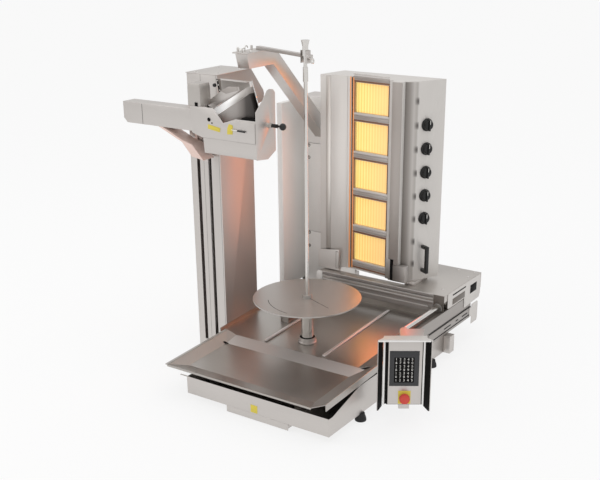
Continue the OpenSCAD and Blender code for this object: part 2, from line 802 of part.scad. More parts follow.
// Gooseneck: a level arm and a slanted leg down to the post
goose_right = 258;
goose_left = goose_right + goose_side;
goose_drop = goose_side/cos(goose_angle);
goose_fall = tan(goose_angle);
goose_bend_y = 157;
goose_end_z = goose_top - goose_side - (post_front - goose_bend_y)*goose_fall;
goose_mitre_y = goose_bend_y + (goose_drop - goose_side)/goose_fall;
goose_front_y = -15;
goose_slant = 16;
module gooseneck() {
    t = sheet;
    color("silver") difference() {
        along_x(-goose_left, goose_side) polygon([[goose_front_y, goose_top], [goose_mitre_y, goose_top],
            [post_front, goose_end_z + goose_drop], [post_front, goose_end_z], [goose_bend_y,
                goose_top - goose_side],
            [goose_front_y + goose_slant, goose_top - goose_side]]);
        along_x(-goose_left + t, goose_side - 2*t) polygon([[goose_front_y + 2*t, goose_top - t],
            [goose_mitre_y - t*0.4, goose_top - t], [post_front + cut,
                goose_end_z + goose_drop - t*1.4 - cut*goose_fall],
            [post_front + cut, goose_end_z + t*1.4 - cut*goose_fall], [goose_bend_y + t*0.4,
                goose_top - goose_side + t],
            [goose_front_y + goose_slant + 2*t, goose_top - goose_side + t]]);
        bar(pivot_x, pivot_y, goose_top - goose_side/2, goose_top + cut, pivot_r + run);
    }
}
// Plate on the arm's end, with two bolts and the strap that keeps the swivel bar down
pivot_in = 22;
pivot_x = -goose_right - pivot_in;
pivot_y = 110;
pivot_r = 6;
goose_plate_t = 5;
bolt_r = 5;
bolt_h = 16;
bolt_in = 6;
bolt_y = [10, 96];
plate_out = 20;
plate_y0 = -8;
plate_y1 = 140;
module gooseneck_plate() {
    z = goose_top + goose_plate_t;
    color("lightgray") {
        difference() {
            block([-goose_left - plate_out, plate_y0, goose_top], [-goose_right, plate_y1, z]);
            bar(pivot_x, pivot_y, goose_top - cut, z + cut, pivot_r + run);
        }
        for (y = bolt_y) bar(-goose_left - bolt_in, y, z, z + bolt_h, bolt_r);
    }
}
// Swivel bar with an open jaw for the rod
bar_h = 12;
bar_w = 20;
bar_tip = 34;
jaw_r = 19.5;
bar_angle = atan2(-pivot_y, -pivot_x);
bar_len = norm([pivot_x, pivot_y]);
clamp_low = 20;
clamp_h = 45;
jaw_gap = 5.2;
wing_drop = 8;
wing_r = 4;
module bar_place() { translate([pivot_x, pivot_y, goose_top + goose_plate_t + slip])
    rotate(bar_angle) children(); }
module swivel_bar() {
    jaw = neck_r + jaw_gap;
    color("silver") bar_place() difference() {
        union() {
            block([-2*bar_h, -bar_w/2, 0], [bar_len + bar_tip, bar_w/2, bar_h]);
            translate([bar_len, 0, -clamp_low]) cylinder(h = clamp_h, r = jaw_r);
            translate([0, 0, -goose_side/3]) cylinder(h = goose_side/3 + bar_h, r = pivot_r);
        }
        translate([bar_len, 0, -clamp_low - cut]) cylinder(h = clamp_h + 2*cut, r = jaw);
        block([bar_len - jaw, -3*bar_w, -clamp_low - cut], [bar_len + jaw, 0, clamp_h]);
        translate([bar_len + jaw_r/2, 0, -wing_drop]) rotate([0, 90, 0]) cylinder(h = 2*jaw_r,
            r = wing_r + run);
    }
}
wing_l = 22;
ring_r = 11;
ring_hole_r = 6;
ring_t = 5;
module wing_screw() {
    color("lightgray") bar_place() translate([bar_len, 0, -wing_drop]) {
        translate([neck_r + jaw_gap, 0, 0]) rotate([0, 90, 0]) cylinder(h = wing_l, r = wing_r);
        translate([neck_r + jaw_gap + wing_l + ring_r/2, 0, 0]) rotate([90, 0, 0]) difference() {
            cylinder(h = ring_t, r = ring_r, center = true);
            cylinder(h = 2*ring_t, r = ring_hole_r, center = true);
        }
    }
}

// Carriage rails at the right and at the left
rail_back = 690;
rail_top = rail_z - 2*rail_r;
slide_w = 22;
slide_t = 3;
slide_front = 294;
slide_z = 110;
module rail_housing() {
    color("silver") difference() {
        union() {
            block([rail_left, rail_front, side_top], [base_right, rail_back, rail_top]);
            block([base_right - slide_w, slide_front, slide_z], [base_right + slide_t, rail_back,
                side_top + 2*slide_t]);
        }
        block([rail_left + sheet, rail_front + sheet, side_top - cut],
            [base_right - slide_w - sheet, rail_back - sheet, rail_top - sheet]);
        block([base_right - slide_w - cut, slide_front - cut, slide_z - cut], [base_right,
            base_back + slip, side_top]);
    }
}
left_rail_x = 193;
left_rail_w = 40;
module left_rail() {
    color("silver") difference() {
        block([-left_rail_x - left_rail_w/2, rail_front, pan_z - sheet*2],
            [-left_rail_x + left_rail_w/2, rail_back, rail_top]);
        block([-left_rail_x - left_rail_w/2 + sheet, rail_front + sheet, 0],
            [-left_rail_x + left_rail_w/2 - sheet, rail_back - sheet, rail_top - sheet]);
        pan_frame() block([-base_right, -pan_d, -pan_d], [base_right, pan_d + slip, 0]);
        pan_frame() block([-base_right, pan_d - sheet - slip, -pan_d],
            [base_right, pan_d + slip, pan_wall_h + slip]);
        block([-base_right, base_back - 2*sheet, 0], [0, rail_back + cut, side_top]);
    }
}
right_rod_x = 369;
post_t = 14;
rod_step = 2;
module rail_rods() {
    color("lightgray") for (x = [right_rod_x, -left_rail_x]) {
        bar_y(x, rail_front, rail_back, rail_z, rail_r);
        for (y = [rail_front, rail_back - post_t])
            block([x - rail_r + rod_step, y, rail_top], [x + rail_r - rod_step, y + post_t, rail_z]);
    }
}
cover_h = 76;
cover_w = 40;
cover_out = 30;
module side_cover() {
    top_z = foot_h + cover_h;
    color("silver") {
        block([base_right + slide_t, base_back - cover_w, foot_h], [base_right + cover_out, base_back,
            top_z]);
        block([base_right, base_back - cover_w, foot_h], [base_right + slide_t, base_back, top_z]);
    }
}

// Heater carriage on the rods
beam_front = 426;
beam_d2 = 41;
beam_z = 256;
groove_z = [268, 278];
groove_w = 3;
groove_d = 4;
block_front = beam_front + beam_d2;
block_left = 326;
left_block_w = 56;
left_block_back = 640;
plate_left = 185;
plate_thick = 4;
module heater_carriage() {
    low_x = -left_rail_x - left_block_w/2;
    color("gray") {
        difference() {
            block([low_x, beam_front, beam_z], [base_right, block_front, carriage_top]);
            for (z = groove_z)
                block([-left_rail_x, beam_front - cut, z], [block_left, beam_front + groove_d,
                    z + groove_w]);
        }
        block([plate_left, block_front, carriage_top - plate_thick], [base_right, carriage_back,
            carriage_top]);
        block([low_x, block_front, carriage_top - plate_thick],
            [low_x + left_block_w, left_block_back, carriage_top]);
    }
}
rod_slot = 4;
rod_hold = 3;
window_lo = [705, 224];
window_hi = [735, 250];
window_d = 12;
module rod_block(x0, x1, back_y, rod_x) {
    difference() {
        block([x0, block_front, rail_top + rod_step], [x1, back_y, carriage_top - plate_thick]);
        bar_y(rod_x, block_front - cut, back_y + cut, rail_z, rail_r + run);
        block([rod_x - rail_r - rod_slot, block_front - cut, rail_top],
            [rod_x + rail_r + rod_slot, back_y + cut, rail_z - rod_hold]);
    }
}
module carriage_blocks() {
    low_x = -left_rail_x - left_block_w/2;
    color("silver") {
        difference() {
            rod_block(block_left, base_right, carriage_back, right_rod_x);
            block([base_right - window_d, window_lo[0], window_lo[1]], [base_right + cut, window_hi[0],
                window_hi[1]]);
        }
        rod_block(low_x, low_x + left_block_w, left_block_back, -left_rail_x);
    }
}

// Heater: a case of folded sheet round a frame with five windows
heater_top = heater_z + heater_h;
case_path = [[-93, 486], [-106, 484], [-237, 461], [-209, 606], [274, 606], [214, 493], [166, 463],
    [166, 440], [119, 440], [115, 463], [95, 463]];
module case_plan() { polygon(case_path); }
module heater_case() {
    color("silver") {
        difference() {
            translate([0, 0, heater_z]) linear_extrude(heater_h) polygon(folded(case_path, -sheet));
            for (k = [0 : 4]) knob_place(k) translate([0, 0, -2*knob_h]) cylinder(h = 4*knob_h,
                r = knob_shaft_r + run);
        }
        for (z = [heater_z, heater_top - sheet]) translate([0, 0, z]) linear_extrude(sheet) case_plan();
    }
}
frame_t = 12;
frame_from = case_path[0];
frame_to = case_path[10];
frame_angle = atan2(frame_to[1] - frame_from[1], frame_to[0] - frame_from[0]);
frame_len = norm(frame_to - frame_from);
window_w = 172;
window_in = 13.5;
window_low = 45;
burner_lap = 4;
burner_d = 40;
frame_bar = burner_pitch - window_h;
window_z0 = heater_z + window_low;
module frame_place() { translate([frame_from[0], frame_from[1], 0]) rotate(frame_angle) children(); }
module burner_frame() {
    color("gray") frame_place() difference() {
        block([slip, 0, heater_z + sheet], [frame_len - slip, frame_t, heater_top - sheet]);
        for (k = [0 : 4]) block([window_in, -cut, window_z0 + k*burner_pitch],
            [window_in + window_w, frame_t + cut, window_z0 + k*burner_pitch + window_h]);
    }
}
module burners() {
    color("orange") frame_place() for (k = [0 : 4])
        block([window_in - burner_lap, frame_t, window_z0 + k*burner_pitch - burner_lap],
            [window_in + window_w + burner_lap, frame_t + burner_d,
                window_z0 + k*burner_pitch + window_h + burner_lap]);
}
knob_shaft_r = 4;
knob_h = 22;
knob_pitch = 97.75;
knob_step = 4;
knob_top_share = 0.8;
grip_w = 8;
knob_z = 963;
knob_y_share = 0.32;
panel_from = case_path[5];
panel_to = case_path[4];
panel_dir = unit(panel_to - panel_from);
module knob_place(k) {
    p = panel_from + knob_y_share*(panel_to - panel_from);
    translate([p[0], p[1], knob_z - k*knob_pitch]) rotate([0, 0, atan2(panel_dir[1], panel_dir[0]) - 90])
        rotate([0, 90, 0]) children();
}
module knob(k) {
    color("dimgray") knob_place(k) {
        translate([0, 0, slip]) cylinder(h = knob_h - knob_step, r = knob_r);
        translate([0, 0, knob_h - knob_step]) cylinder(h = knob_step, r = knob_r*knob_top_share);
        block([-knob_r, -grip_w/2, knob_step], [knob_r, grip_w/2, knob_h + knob_step]);
        translate([0, 0, -knob_h + slip]) cylinder(h = knob_h + knob_step, r = knob_shaft_r);
    }
}
module knob_1() { knob(0); }
module knob_2() { knob(1); }
module knob_3() { knob(2); }
module knob_4() { knob(3); }
module knob_5() { knob(4); }
handle_z = 395;
handle_l = 118;
handle_r = 7;
handle_out = 34;
module heater_handle() {
    color("dimgray") translate([0, 0, handle_z - knob_z]) knob_place(0) rotate([0, -90, 0]) {
        block([0, -handle_r, -handle_l/2], [handle_out, handle_r, -handle_l/2 + 2*handle_r]);
        block([0, -handle_r, handle_l/2 - 2*handle_r], [handle_out, handle_r, handle_l/2]);
        block([handle_out - handle_r, -handle_r, -handle_l/2], [handle_out + handle_r, handle_r,
            handle_l/2]);
    }
}
// Brackets that carry the heater on the carriage
bracket_left = [221, 137, 560];
bracket_right = [185, 232, 590];
bracket_in = 3;
module heater_brackets() {
    color("lightgray") {
        block([-bracket_left[0], block_front + bracket_in, carriage_top], [-bracket_left[1],
            bracket_left[2], heater_z]);
        block([bracket_right[0], block_front + bracket_in, carriage_top], [bracket_right[1],
            bracket_right[2], heater_z]);
    }
}

// Control box, turned to the cook on a bracket at the front of the right rail
module panel_frame() { translate([panel_x, panel_y, panel_z]) rotate(panel_turn) children(); }
box_d = 22;
function from_panel(x, y) = [panel_x + x*cos(panel_turn) - y*sin(panel_turn),
    panel_y + x*sin(panel_turn) + y*cos(panel_turn)];
shelf_z = 252;
shelf_t = 4;
shelf_in = 12;
shelf_x0 = 376;
shelf_y0 = 86;
shelf_far = [457, 138];
tongue_y = 101;
module control_bracket() {
    color("silver") {
        translate([0, 0, shelf_z]) linear_extrude(shelf_t) polygon([[shelf_x0, shelf_y0],
            [shelf_x0, rail_front], [base_right, rail_front], [base_right, tongue_y], shelf_far,
            from_panel(panel_w/2 - shelf_in, box_d), from_panel(-shelf_in, box_d)]);
        block([shelf_x0, rail_front - shelf_t, rail_top - shelf_in],
            [base_right, rail_front, shelf_z + shelf_t]);
    }
}
stop_depth = 18;
module control_box() {
    color("black") panel_frame() difference() {
        block([-panel_w/2, 0, 0], [panel_w/2, box_d, panel_h]);
        translate([stop_x, -cut, stop_z]) rotate([-90, 0, 0]) cylinder(h = stop_depth,
            r = stop_stem_r + run);
    }
}
stop_x = 0;
stop_z = 31;
stop_stem_r = 8;
flap_turn = 45;
flap_drop = 20;
module control_hood() {
    t = sheet;
    w = panel_w/2 + flange_w;
    color("lightgray") panel_frame() {
        translate([0, 0, panel_h]) linear_extrude(t) polygon([[-w, box_d], [-w, 0],
            [-w - hood_wide, -hood_front], [w + hood_wide, -hood_front], [w, 0], [w, box_d]]);
        for (s = [-1, 1]) {
            block([s*(panel_w + flange_w)/2 - flange_w/2, -t, 0],
                [s*(panel_w + flange_w)/2 + flange_w/2, 0, panel_h]);
            translate([s*w, 0, 0]) rotate([0, 0, s*flap_turn])
                block([-t/2, -hood_depth, -flap_drop], [t/2, 0, panel_h]);
        }
    }
}
screen_w = 102;
screen_t = 4;
screen_z = [77, 217];
module touch_screen() {
    color("black") panel_frame() block([-screen_w/2, -screen_t, screen_z[0]], [screen_w/2, 0, screen_z[1]]);
}
stop_out = 10;
stop_h = 14;
module stop_button() {
    color("red") panel_frame() translate([stop_x, 0, stop_z]) rotate([90, 0, 0]) {
        translate([0, 0, stop_out]) cylinder(h = stop_h, r = stop_r);
        translate([0, 0, -stop_depth/2]) cylinder(h = stop_depth/2 + stop_out + cut, r = stop_stem_r);
    }
}

placed() base_shell();
placed() front_apron();
placed() plinth();
placed() rubber_feet();
placed() drip_pan();
placed() tray_rails();
placed() drawer_runners();
placed() front_tray();
placed() grease_drawer();
placed() spit_bearing();
placed() spit_motor();
placed() spit_shaft();
placed() meat_disc();
placed() meat_rod();
placed() spit_gear();
placed() motor_pinion();
placed() column_shell();
placed() column_front();
placed() column_cap();
placed() guide_rods();
placed() lift_motor();
placed() lift_screw();
placed() lift_carriage();
placed() arm_housing();
placed() arm_brace();
placed() rear_post();
placed() post_covers();
placed() side_shield();
placed() gooseneck();
placed() gooseneck_plate();
placed() swivel_bar();
placed() wing_screw();
placed() rail_housing();
placed() left_rail();
placed() rail_rods();
placed() side_cover();
placed() heater_carriage();
placed() carriage_blocks();
placed() heater_case();
placed() burner_frame();
placed() burners();
placed() heater_brackets();
placed() heater_handle();
placed() knob_1();
placed() knob_2();
placed() knob_3();
placed() knob_4();
placed() knob_5();
placed() arm_slide();
placed() head_frame();
placed() head_motor();
placed() knife_drum();
placed() guard();
placed() knife();
placed() lock_plunger();
placed() control_bracket();
placed() control_box();
placed() control_hood();
placed() touch_screen();
placed() stop_button();
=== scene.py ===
# %% [markdown]
# # Electric skewer grill
# A catering machine that roasts meat on an upright spit. It has a drip pan on a housing, a tall
# electric heater on a sliding carriage, and a cutting head on a lift column. The CAD model gives
# every size and joint. This lesson dresses it: its sheets get softened edges and real finishes,
# and the small fittings that make a machine look made are modelled and hung on their bodies.

# %% Load the CAD model and find the spit
import json
import math
import bpy
from mathutils import Euler, Matrix, Vector

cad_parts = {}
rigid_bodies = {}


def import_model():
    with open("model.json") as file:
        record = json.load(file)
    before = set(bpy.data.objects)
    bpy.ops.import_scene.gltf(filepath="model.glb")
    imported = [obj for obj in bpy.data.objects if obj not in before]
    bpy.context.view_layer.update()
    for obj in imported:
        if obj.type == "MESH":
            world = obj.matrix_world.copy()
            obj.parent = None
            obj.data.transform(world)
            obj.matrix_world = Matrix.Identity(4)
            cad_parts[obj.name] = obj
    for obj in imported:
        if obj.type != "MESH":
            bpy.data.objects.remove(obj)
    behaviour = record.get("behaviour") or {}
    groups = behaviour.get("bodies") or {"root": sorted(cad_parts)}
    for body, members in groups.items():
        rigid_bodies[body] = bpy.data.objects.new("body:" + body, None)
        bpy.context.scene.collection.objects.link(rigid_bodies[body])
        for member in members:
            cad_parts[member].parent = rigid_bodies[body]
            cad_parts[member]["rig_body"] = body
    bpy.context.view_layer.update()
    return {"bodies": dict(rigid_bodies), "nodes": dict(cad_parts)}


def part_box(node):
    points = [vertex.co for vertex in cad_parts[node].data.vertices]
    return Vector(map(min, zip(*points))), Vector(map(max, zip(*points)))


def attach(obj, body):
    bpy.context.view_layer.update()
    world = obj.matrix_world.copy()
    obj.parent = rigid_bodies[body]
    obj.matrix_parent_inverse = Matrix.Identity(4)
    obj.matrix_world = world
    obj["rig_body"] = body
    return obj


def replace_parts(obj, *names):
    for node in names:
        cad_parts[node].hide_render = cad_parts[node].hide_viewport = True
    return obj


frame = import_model()
MM = 0.001
low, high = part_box("meat_rod")
SPIT = Vector(((low.x + high.x) / 2, (low.y + high.y) / 2, 0))
print("spit axis at", [round(v, 4) for v in SPIT])

# %% [markdown]
# ## Places and colours
# A workshop drawing measures in millimetres from one datum, here the spit's axis on the floor.
# Blender works in metres. Every number could be turned by hand, but one helper does it, so the
# places below read as a drawing does. Colours are written in hex, as a paint card gives them,
# because linear numbers say nothing to the eye. A second helper turns those.

# %% Helpers for places and colours
def at(x, y, z):
    """A place in millimetres from the spit's axis and the floor, as metres in the scene."""
    return SPIT + Vector((x, y, z)) * MM


def linear(code):
    """An sRGB hex colour as linear RGBA."""
    out = []
    for i in (1, 3, 5):
        c = int(code[i:i + 2], 16) / 255
        out.append(c / 12.92 if c <= 0.04045 else ((c + 0.055) / 1.055) ** 2.4)
    return (*out, 1.0)


def tone(code, factor):
    """A hex colour made darker or lighter by a factor, as linear RGBA."""
    return (*[min(1.0, c * factor) for c in linear(code)[:3]], 1.0)


print("mid grey is", round(linear("#808080")[0], 3), "in linear light")

# %% [markdown]
# ## Nodes from code
# A material is a small network of nodes. It could be wired by hand in the shader editor. In code,
# one function that adds a node with its settings, values and links keeps each finish to a few
# lines, which can be read from top to bottom in the order in which the light is worked out.

# %% Helpers for materials
def add(tree, kind, inputs=None, links=None, **settings):
    """Adds a node, sets its options and input values, and links other nodes' outputs to it."""
    node = tree.nodes.new(kind)
    for key, value in settings.items():
        setattr(node, key, value)
    for key, value in (inputs or {}).items():
        node.inputs[key].default_value = value
    for key, source in (links or {}).items():
        tree.links.new(source, node.inputs[key])
    return node


def new_material(name):
    """An empty node material with its shader, and the tree to build it in."""
    m = bpy.data.materials.new(name)
    m.use_nodes = True
    tree = m.node_tree
    return m, tree, tree.nodes["Principled BSDF"]


def set_shader(tree, shader, links, values):
    """Links outputs to the shader's sockets, and sets the sockets that are the same all over."""
    for key, source in links.items():
        tree.links.new(source, shader.inputs[key])
    for key, value in values.items():
        shader.inputs[key].default_value = value


def set_stops(ramp, *stops):
    """Gives a colour ramp its stops, each a position and a linear colour."""
    elements = ramp.color_ramp.elements
    while len(elements) < len(stops):
        elements.new(0.5)
    for element, (where, colour) in zip(elements, stops):
        element.position = where
        element.color = colour


print("material helpers ready")

# %% [markdown]
# ## Brushed stainless steel
# Most of the machine is stainless sheet, brushed with an abrasive belt. The belt leaves fine
# parallel scratches, which draw a highlight out across them. An image of steel could be wrapped
# round each part, but its seams would show. A noise stretched along the brushing has no
# seams. It moves the roughness and a very low bump, and a slow cloudy noise adds handling marks.
# Real scratches are finer than 0.1 mm. These are about 2 mm wide, the finest that shows here.

# %% Brushed stainless sheet
SCRATCHES_PER_M = 450
RUNS_PER_M = 9
SMEARS_PER_M = 5.5
SCRATCH_SHARE, SMEAR_SHARE = 0.4, 0.6
SCRATCH_HEIGHT = 0.2 * MM


def brushed_steel(name, colour, rough, along, cloud=0.03, metal=1.0):
    """Sheet brushed along X, Y or Z. cloud is how far its tone wanders from place to place."""
    m, tree, shader = new_material(name)
    place = add(tree, "ShaderNodeTexCoord")
    scale = [SCRATCHES_PER_M] * 3
    scale["XYZ".index(along)] = RUNS_PER_M
    stretch = add(tree, "ShaderNodeMapping", {"Scale": scale}, {"Vector": place.outputs["Object"]})
    scratch = add(tree, "ShaderNodeTexNoise", {"Scale": 1.0, "Detail": 3.0, "Roughness": 0.6},
                  {"Vector": stretch.outputs["Vector"]})
    smear = add(tree, "ShaderNodeTexNoise",
                {"Scale": SMEARS_PER_M, "Detail": 4.0, "Roughness": 0.55},
                {"Vector": place.outputs["Object"]})
    part = add(tree, "ShaderNodeMath", {1: SCRATCH_SHARE}, {0: scratch.outputs["Fac"]},
               operation="MULTIPLY")
    both = add(tree, "ShaderNodeMath", {1: SMEAR_SHARE},
               {0: smear.outputs["Fac"], 2: part.outputs[0]}, operation="MULTIPLY_ADD")
    spread = add(tree, "ShaderNodeMapRange",
                 {"From Min": 0.25, "From Max": 0.75, "To Min": rough - 0.04,
                  "To Max": rough + 0.04}, {"Value": both.outputs[0]})
    ramp = add(tree, "ShaderNodeValToRGB", links={"Fac": both.outputs[0]})
    set_stops(ramp, (0.3, tone(colour, 1 - cloud)), (0.7, tone(colour, 1 + cloud)))
    bump = add(tree, "ShaderNodeBump", {"Strength": 0.05, "Distance": SCRATCH_HEIGHT},
               {"Height": scratch.outputs["Fac"]})
    set_shader(tree, shader, {"Base Color": ramp.outputs["Color"],
                              "Roughness": spread.outputs["Result"],
                              "Normal": bump.outputs["Normal"]}, {"Metallic": metal})
    return m


print("scratches", round(1000 / SCRATCHES_PER_M, 1), "mm wide")

# %% [markdown]
# ## The machine's steels
# One grey for every sheet would look like plastic. On the real machine each part mirrors what it
# faces, and its making shows too: rolled rails are darker, ground rods are brighter, and sheet
# near the heater has gone brown. Each of these could be left to the lamps, but a separate finish
# for each kind of part gives the range of greys that the eye expects of steel.

# %% Steel finishes
# Belt-brushed sheet: mid grey, with a wide soft highlight along the brushing.
SHEET = brushed_steel("brushed_stainless_level", "#CDC8C4", 0.42, "X")
SHEET_UP = brushed_steel("brushed_stainless_upright", "#CFCAC6", 0.44, "Z")
SHEET_DEEP = brushed_steel("brushed_stainless_deep", "#C6C1BC", 0.40, "Y")
# The column's shell is a darker, warmer copy of the sheet: painted shade on its side.
COLUMN = brushed_steel("column_shell_steel", "#BAB1AC", 0.46, "Z", metal=0.7)
# Sheet that is scoured after each day's use: darker and smoother, with cloudier smears.
TROUGH = brushed_steel("drip_steel_worn", "#B4AFAA", 0.34, "X", cloud=0.05)
TROUGH_PAN = brushed_steel("drip_pan_steel_worn", "#AFAAA5", 0.33, "Y", cloud=0.05)
DISC = brushed_steel("turned_disc_steel", "#B9B5B1", 0.38, "X", cloud=0.04)
# The tray's lip is a lighter, less metallic copy of the tray's steel: painted light on its top.
TRAY_LIP = brushed_steel("tray_lip_steel", "#C6C1BD", 0.42, "X", metal=0.6)
# Matt pale sheet: lighter and more even, with hardly a reflection. The first two are partly painted
# light, made lighter for parts that the lamps leave in shade.
SHEET_SOFT = brushed_steel("matt_steel_painted_light_upright", "#D4D0CC", 0.5, "Z", metal=0.55)
LIGHT_UP = brushed_steel("light_sheet_painted_light_upright", "#E6E3E0", 0.5, "Z", metal=0.25)
BRIGHT = brushed_steel("polished_cover_steel", "#E9E7E5", 0.3, "X", metal=0.5)
# Sheet near the heater. The brace is pale, with painted light and the burners' pink glow painted
# on. The darker sheet is tinted by the heat.
BRACE = brushed_steel("brace_steel_painted_glow", "#E9D0C6", 0.5, "X", metal=0.25)
TINT = brushed_steel("heat_tinted_steel", "#8A6A58", 0.45, "X", metal=0.7)
# Rolled and pressed sections as they leave the mill: duller. The light and dark beam steels and
# the darkest steel also serve as painted highlight and shade.
RAIL = brushed_steel("rolled_rail_steel", "#ABA6A2", 0.42, "Y")
POST = brushed_steel("rolled_post_steel", "#B2ABA6", 0.45, "Z", metal=0.8)
MOTOR = brushed_steel("motor_cover_steel", "#BDB8B3", 0.45, "Z", metal=0.8)
BEAM = brushed_steel("carriage_beam_steel", "#D0CCC9", 0.45, "X", metal=0.8)
BEAM_DARK = brushed_steel("carriage_beam_groove", "#99938F", 0.5, "X", metal=0.7)
RAIL_DARK = brushed_steel("dark_steel_and_painted_shade", "#77706A", 0.45, "Y", metal=0.8)
RIB = brushed_steel("pressed_rib_steel", "#DEDAD7", 0.45, "Y", metal=0.6)
# Ground rods mirror sharply, and sand-cast aluminium is dark and blotchy.
ROD = brushed_steel("ground_rod_steel", "#D6D3CF", 0.20, "Z")
CAST = brushed_steel("cast_aluminium_grey", "#8C8884", 0.5, "X", cloud=0.1)
print("steel finishes:", len(bpy.data.materials))

# %% [markdown]
# ## Plastics, rubber, glass and coatings
# Knobs and handles are black nylon, moulded in a tool whose spark-eroded wall leaves a fine grit.
# The feet are rubber, the box is powder coated and the touch screen is dark glass. Each could have
# its own network, but they differ only in grit, gloss and colour, so one function makes them all.
# The grit is drawn three times as coarse as it is, so that it shows.

# %% Moulded and coated finishes
GRIT_DRAWN_COARSER = 3
WEAR_PER_M = 9.0
GRIT_HEIGHT = 0.3 * MM


def moulded(name, colour, rough, grit_mm, depth=0.15, coat=0.0, shine=0.5, hot=0.0):
    """Moulded plastic, rubber or a coating, with a grit of the given size."""
    m, tree, shader = new_material(name)
    place = add(tree, "ShaderNodeTexCoord")
    grit = add(tree, "ShaderNodeTexNoise",
               {"Scale": 1000.0 / grit_mm / GRIT_DRAWN_COARSER, "Detail": 2.0},
               {"Vector": place.outputs["Object"]})
    slow = add(tree, "ShaderNodeTexNoise", {"Scale": WEAR_PER_M, "Detail": 3.0},
               {"Vector": place.outputs["Object"]})
    ramp = add(tree, "ShaderNodeValToRGB", links={"Fac": slow.outputs["Fac"]})
    set_stops(ramp, (0.3, tone(colour, 0.88)), (0.7, tone(colour, 1.1)))
    wear = add(tree, "ShaderNodeMapRange", {"To Min": rough - 0.06, "To Max": rough + 0.06},
               {"Value": slow.outputs["Fac"]})
    bump = add(tree, "ShaderNodeBump", {"Strength": depth, "Distance": GRIT_HEIGHT},
               {"Height": grit.outputs["Fac"]})
    set_shader(tree, shader, {"Base Color": ramp.outputs["Color"],
                              "Roughness": wear.outputs["Result"],
                              "Normal": bump.outputs["Normal"]},
               {"Metallic": 0.0, "Coat Weight": coat, "Specular IOR Level": shine,
                "Emission Color": linear(colour), "Emission Strength": hot})
    return m


# Spark-eroded nylon: a dull sheen. The knobs are worn smoother and the coated box is matt.
BLACK = moulded("black_moulded_nylon", "#161616", 0.38, 0.5)
KNOB = moulded("knob_gloss_black", "#0B0B0C", 0.32, 0.5, depth=0.03, coat=0.1, shine=0.35)
DARK = moulded("black_powder_coat", "#0C0B0B", 0.6, 0.6, shine=0.12)
RUBBER = moulded("black_rubber", "#1B1B1C", 0.7, 0.8, depth=0.3)
RED = moulded("red_moulded_plastic", "#C93A2B", 0.35, 0.6, coat=0.3)
# Film, ink and glass: hardly any grit, and the glass has a clear gloss.
YELLOW = moulded("plain_yellow_vinyl", "#D9C64A", 0.45, 0.5)
WHITE = moulded("white_print", "#E8E6E1", 0.5, 0.5, depth=0.02)
GLASS = moulded("dark_touch_glass", "#1D1E21", 0.2, 0.5, depth=0.0, coat=0.25)
# Steel beside the burners with their orange glow painted on, as colour and a faint emission.
GLOW_STRIP = moulded("burner_glow_painted_steel", "#D9935F", 0.5, 0.6, depth=0.02, hot=0.28)
print("finishes so far:", len(bpy.data.materials))

# %% [markdown]
# ## The glowing ceramic
# Each burner is a plate of porous ceramic that glows behind upright wires. The wires could be
# modelled, but there are hundreds and each is thinner than a dot of the picture. A sine wave
# across the plate gives their rhythm, drawn 14.5 mm apart so that it shows. The light itself is
# an even emission, warmer towards one side, as the real plates are.

# %% Hot ceramic behind wires
WIRE_PITCH = 14.5 * MM
WIRE_CONTRAST = 0.17
CERAMIC_GLOW = 0.54
BURNER_LEFT, BURNER_RIGHT = -80, 95


def glowing_ceramic():
    """Hot ceramic behind upright wires: yellow light in stripes, warmer to the right."""
    m, tree, shader = new_material("glowing_ceramic_plate")
    place = add(tree, "ShaderNodeTexCoord")
    parts = add(tree, "ShaderNodeSeparateXYZ", links={"Vector": place.outputs["Object"]})
    wave = add(tree, "ShaderNodeMath", {1: 2 * math.pi / WIRE_PITCH}, {0: parts.outputs["X"]},
               operation="MULTIPLY")
    sine = add(tree, "ShaderNodeMath", links={0: wave.outputs[0]}, operation="SINE")
    cloud = add(tree, "ShaderNodeTexNoise", {"Scale": 14.0, "Detail": 2.0},
                {"Vector": place.outputs["Object"]})
    calm = add(tree, "ShaderNodeMapRange", {"To Min": 0.42, "To Max": 0.58},
               {"Value": cloud.outputs["Fac"]})
    level = add(tree, "ShaderNodeMath", {1: WIRE_CONTRAST},
                {0: sine.outputs[0], 2: calm.outputs["Result"]}, operation="MULTIPLY_ADD")
    ramp = add(tree, "ShaderNodeValToRGB", links={"Fac": level.outputs[0]})
    set_stops(ramp, (0.28, linear("#EBBE60")), (0.72, linear("#F8DF8C")))
    across = add(tree, "ShaderNodeMapRange",
                 {"From Min": at(BURNER_LEFT, 0, 0).x,
                  "From Max": at(BURNER_RIGHT, 0, 0).x},
                 {"Value": parts.outputs["X"]})
    warm = add(tree, "ShaderNodeMix", {7: linear("#F0C482")},
               {0: across.outputs["Result"], 6: ramp.outputs["Color"]}, data_type="RGBA")
    set_shader(tree, shader, {"Base Color": warm.outputs[2], "Emission Color": warm.outputs[2]},
               {"Emission Strength": CERAMIC_GLOW, "Roughness": 0.7})
    return m


CERAMIC = glowing_ceramic()
print("wires", round(WIRE_PITCH / MM, 1), "mm apart")

# %% [markdown]
# ## Steel that changes tone
# Polished sheet that stands edge on to the room is bright at one side and dark at the other,
# because it mirrors what is next to it. Real reflections could do this, but they would need the
# whole kitchen. A ramp along X gives the same look from every side. On the case's return it also
# carries the five soft shades that the knobs leave on the steel.

# %% Graded steel
KNOB_TOP, KNOB_PITCH = 963, 97.75


